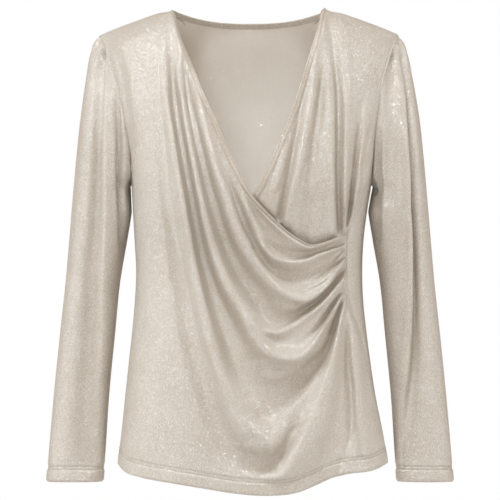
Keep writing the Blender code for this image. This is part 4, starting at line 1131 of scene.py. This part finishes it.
def flakes(tree, place, cells, share, reach):
    """Glitter flakes: round spots in some cells of a grid. Their mask and their random tilt."""
    grid = node(tree, "ShaderNodeTexVoronoi", Scale=cells, Randomness=1.0)
    tree.links.new(place, grid.inputs["Vector"])
    parts = tree.nodes.new("ShaderNodeSeparateColor")
    tree.links.new(grid.outputs["Color"], parts.inputs["Color"])
    chosen = math_node(tree, "GREATER_THAN", parts.outputs["Red"], 1 - share)
    spot = math_node(tree, "LESS_THAN", grid.outputs["Distance"], reach)
    mask = math_node(tree, "MULTIPLY", chosen, spot)
    spread = tree.nodes.new("ShaderNodeTexWhiteNoise")
    tree.links.new(grid.outputs["Position"], spread.inputs["Vector"])
    centred = vector_node(tree, "SUBTRACT", spread.outputs["Color"], (0.5, 0.5, 0.5))
    tilt = tree.nodes.new("ShaderNodeVectorMath")
    tilt.operation = "SCALE"
    tree.links.new(centred, tilt.inputs["Vector"])
    tree.links.new(mask, tilt.inputs["Scale"])
    return mask, tilt.outputs["Vector"]


def jersey(name, light, deep, sparkle=1.0):
    """A satiny knit: a slight heather between two colours, fine wales and grain as bump, and two
    sizes of glitter flakes, bright as metal, that each face their own way."""
    material = bpy.data.materials.new(name)
    material.use_nodes = True
    tree = material.node_tree
    shader = tree.nodes["Principled BSDF"]
    link = tree.links.new
    place = tree.nodes.new("ShaderNodeTexCoord")
    cloud = node(tree, "ShaderNodeTexNoise", Scale=26.0, Detail=3.0, Roughness=0.55)
    link(place.outputs["Object"], cloud.inputs["Vector"])
    heather = node(tree, "ShaderNodeTexNoise", Scale=620.0, Detail=2.0, Roughness=0.7)
    link(place.outputs["Object"], heather.inputs["Vector"])
    shade = math_node(tree, "MULTIPLY_ADD", heather.outputs["Fac"], HEATHER_SHARE,
                      math_node(tree, "MULTIPLY", cloud.outputs["Fac"], CLOUD_SHARE))
    ramp = tree.nodes.new("ShaderNodeValToRGB")
    ramp.color_ramp.elements[0].position = SHADE_DEEP
    ramp.color_ramp.elements[0].color = (*deep, 1)
    ramp.color_ramp.elements[1].position = SHADE_LIGHT
    ramp.color_ramp.elements[1].color = (*light, 1)
    link(shade, ramp.inputs["Fac"])

    fine, fine_tilt = flakes(tree, place.outputs["Object"], cells=1900.0,
                             share=0.5 * sparkle, reach=0.5)
    coarse, coarse_tilt = flakes(tree, place.outputs["Object"], cells=950.0,
                                 share=0.14 * sparkle, reach=0.45)
    flake = math_node(tree, "MAXIMUM", fine, coarse)
    colour = tree.nodes.new("ShaderNodeMix")
    colour.data_type = "RGBA"
    colour.inputs["B"].default_value = FLAKE
    link(flake, colour.inputs["Factor"])
    link(ramp.outputs["Color"], colour.inputs["A"])
    link(colour.outputs["Result"], shader.inputs["Base Color"])
    link(math_node(tree, "MULTIPLY", flake, FLAKE_METAL), shader.inputs["Metallic"])
    link(math_node(tree, "MULTIPLY_ADD", flake, FLAKE_SMOOTHER, CLOTH_ROUGHNESS),
         shader.inputs["Roughness"])

    wales = node(tree, "ShaderNodeTexWave", Scale=420.0, Distortion=1.2, Detail_Scale=3.0)
    wales.wave_type = "BANDS"
    wales.bands_direction = "X"
    link(place.outputs["UV"], wales.inputs["Vector"])
    grain = node(tree, "ShaderNodeTexNoise", Scale=1500.0, Detail=2.0, Roughness=0.6)
    link(place.outputs["Object"], grain.inputs["Vector"])
    bump = node(tree, "ShaderNodeBump", Strength=0.25, Distance=0.0002)
    link(math_node(tree, "ADD", wales.outputs["Fac"], grain.outputs["Fac"]),
         bump.inputs["Height"])
    facing = bump.outputs["Normal"]
    for tilt in (fine_tilt, coarse_tilt):
        facing = vector_node(tree, "ADD", facing, tilt)
    link(vector_node(tree, "NORMALIZE", facing), shader.inputs["Normal"])
    shader.inputs["Specular IOR Level"].default_value = 0.5
    shader.inputs["Sheen Weight"].default_value = 0.1
    shader.inputs["Sheen Roughness"].default_value = 0.45
    shader.inputs["Sheen Tint"].default_value = SHEEN
    material.diffuse_color = (*light, 1)
    return material


def thread(name, colour):
    """Matt thread with a fine twist."""
    material = bpy.data.materials.new(name)
    material.use_nodes = True
    tree = material.node_tree
    shader = tree.nodes["Principled BSDF"]
    place = tree.nodes.new("ShaderNodeTexCoord")
    twist = node(tree, "ShaderNodeTexNoise", Scale=2500.0, Detail=1.0)
    tree.links.new(place.outputs["Object"], twist.inputs["Vector"])
    ramp = tree.nodes.new("ShaderNodeValToRGB")
    ramp.color_ramp.elements[0].color = (*[part * 0.78 for part in colour], 1)
    ramp.color_ramp.elements[1].color = (*colour, 1)
    tree.links.new(twist.outputs["Fac"], ramp.inputs["Fac"])
    tree.links.new(ramp.outputs["Color"], shader.inputs["Base Color"])
    bump = node(tree, "ShaderNodeBump", Strength=0.3, Distance=0.0001)
    tree.links.new(twist.outputs["Fac"], bump.inputs["Height"])
    tree.links.new(bump.outputs["Normal"], shader.inputs["Normal"])
    shader.inputs["Roughness"].default_value = 0.7
    return material


def backdrop():
    """A pale floor well below the garment, and white all round for the camera alone.

    What lights the garment from all round is the same sky in a soft warm tone.
    """
    material = bpy.data.materials.new("pale_floor")
    material.use_nodes = True
    shader = material.node_tree.nodes["Principled BSDF"]
    shader.inputs["Base Color"].default_value = (0.9, 0.9, 0.9, 1)
    shader.inputs["Roughness"].default_value = 0.9
    glow = math_node(material.node_tree, "MULTIPLY", node(
        material.node_tree, "ShaderNodeLightPath").outputs["Is Camera Ray"], FLOOR_GLOW)
    material.node_tree.links.new(glow, shader.inputs["Emission Strength"])
    shader.inputs["Emission Color"].default_value = (1, 1, 1, 1)
    corners = np.array([(x, y, FLOOR_Z) for x, y in FLOOR_HALF * np.array(
        ((-1, -1), (1, -1), (1, 1), (-1, 1)))])
    add_object("floor", corners, [(0, 1, 2, 3)], material)
    world = bpy.data.worlds.new("studio")
    bpy.context.scene.world = world
    world.use_nodes = True
    tree = world.node_tree
    sky = tree.nodes["Background"]
    sky.inputs["Color"].default_value = SKY_COLOUR
    sky.inputs["Strength"].default_value = SKY_STRENGTH
    white = node(tree, "ShaderNodeBackground", Color=(1, 1, 1, 1))
    path, either = node(tree, "ShaderNodeLightPath"), node(tree, "ShaderNodeMixShader")
    tree.links.new(path.outputs["Is Camera Ray"], either.inputs[0])
    tree.links.new(sky.outputs[0], either.inputs[1])
    tree.links.new(white.outputs[0], either.inputs[2])
    tree.links.new(either.outputs[0], tree.nodes["World Output"].inputs["Surface"])


def area_light(name, place, size, power):
    """A round lamp that faces the middle of the garment."""
    light = bpy.data.lights.new(name, "AREA")
    light.shape = "DISK"
    light.size = size
    light.energy = power
    light.color = LIGHT_COLOUR
    lamp = bpy.data.objects.new(name, light)
    bpy.context.scene.collection.objects.link(lamp)
    lamp.location = place
    aim = Vector((0, 0, EYE_Z * MM)) - Vector(place)
    lamp.rotation_euler = aim.to_track_quat("-Z", "Y").to_euler()


def studio():
    """A camera far in front, a soft key from the upper left, and fill from all round."""
    scene = bpy.context.scene
    camera = bpy.data.cameras.new("camera")
    camera.lens = camera.sensor_width * EYE_DISTANCE / FRAME_WIDTH
    eye = bpy.data.objects.new("camera", camera)
    scene.collection.objects.link(eye)
    eye.location = (0, -EYE_DISTANCE * MM, EYE_Z * MM)
    eye.rotation_euler = (math.pi / 2, 0, 0)
    scene.camera = eye
    for name, place, size, power in LIGHTS:
        area_light(name, place, size, power)
    scene.view_settings.view_transform = "Standard"


def dress(piece, cad_node):
    """Hang a piece on the body and in place of its plain solid."""
    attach(piece, "root")
    if cad_node:
        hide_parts(cad_node)


def main():
    """Every piece, its colours and its flat cloth, then the floor and the lights."""
    # The wrong side's material: paler and less glittery, as a knit's back is, and lightened further
    # as painted light on the shaded inside.
    wrong_side_with_painted_light = jersey("jersey_wrong_side_with_painted_light", WRONG_SIDE_LIGHT_WITH_PAINTED_LIGHT, WRONG_SIDE_DEEP_WITH_PAINTED_LIGHT, WRONG_SPARKLE)
    cloth, cloth_under, cloth_back, cloth_sleeve = (
        (jersey(f"glitter_jersey_{panel}", JERSEY_LIGHT, JERSEY_DEEP), wrong_side_with_painted_light)
        for panel in ("front", "under", "back", "sleeves"))
    bound = jersey("glitter_binding", BOUND_LIGHT, BOUND_DEEP, BOUND_SPARKLE)
    sewing = thread("sewing_thread", THREAD_COLOUR)

    wrap, wrap_edge = build_wrap(cloth)
    under, under_edge = build_under(cloth_under)
    back, back_edge = build_back(cloth_back)
    right, right_grid, right_out, right_z = build_sleeve(
        "right_sleeve_cloth", -1, RIGHT_SLEEVE_FOLDS, cloth_sleeve)
    left, left_grid, left_out, left_z = build_sleeve(
        "left_sleeve_cloth", 1, LEFT_SLEEVE_FOLDS, cloth_sleeve)
    wrap_band, wrap_rows = build_binding("wrap_neck_binding", wrap_edge, WRAP_BINDING,
                                         WRAP_BINDING_END, bound)
    under_band, under_rows = build_binding("under_neck_binding", under_edge, UNDER_BINDING,
                                           UNDER_BINDING_END, bound)
    back_band, back_rows = build_binding("back_neck_binding", back_edge, BACK_BINDING, 1, bound)
    hem_threads = build_stitches("hem_stitches", hem_lines(), sewing)
    cuff_right = build_stitches("right_cuff_stitches",
                                cuff_lines(right_grid, right_out, right_z), sewing)
    cuff_left = build_stitches("left_cuff_stitches",
                               cuff_lines(left_grid, left_out, left_z), sewing)
    neck_threads = build_stitches("neck_stitches", wrap_rows + under_rows + back_rows, sewing)

    for piece, cad_node, slot_name in (
            (wrap, "front_wrap", "jersey_wrap"), (under, "front_under", "jersey_under"),
            (back, "back", "jersey_back"), (right, "sleeve_right", "jersey_sleeves"),
            (left, "sleeve_left", "jersey_sleeves"), (wrap_band, "neckband_wrap", "binding"),
            (under_band, "neckband_under", "binding"), (back_band, "neckband_back", "binding"),
            (hem_threads, None, "jersey_wrap"), (cuff_right, None, "jersey_sleeves"),
            (cuff_left, None, "jersey_sleeves"), (neck_threads, None, "binding")):
        dress(piece, cad_node)

    backdrop()
    studio()


main()
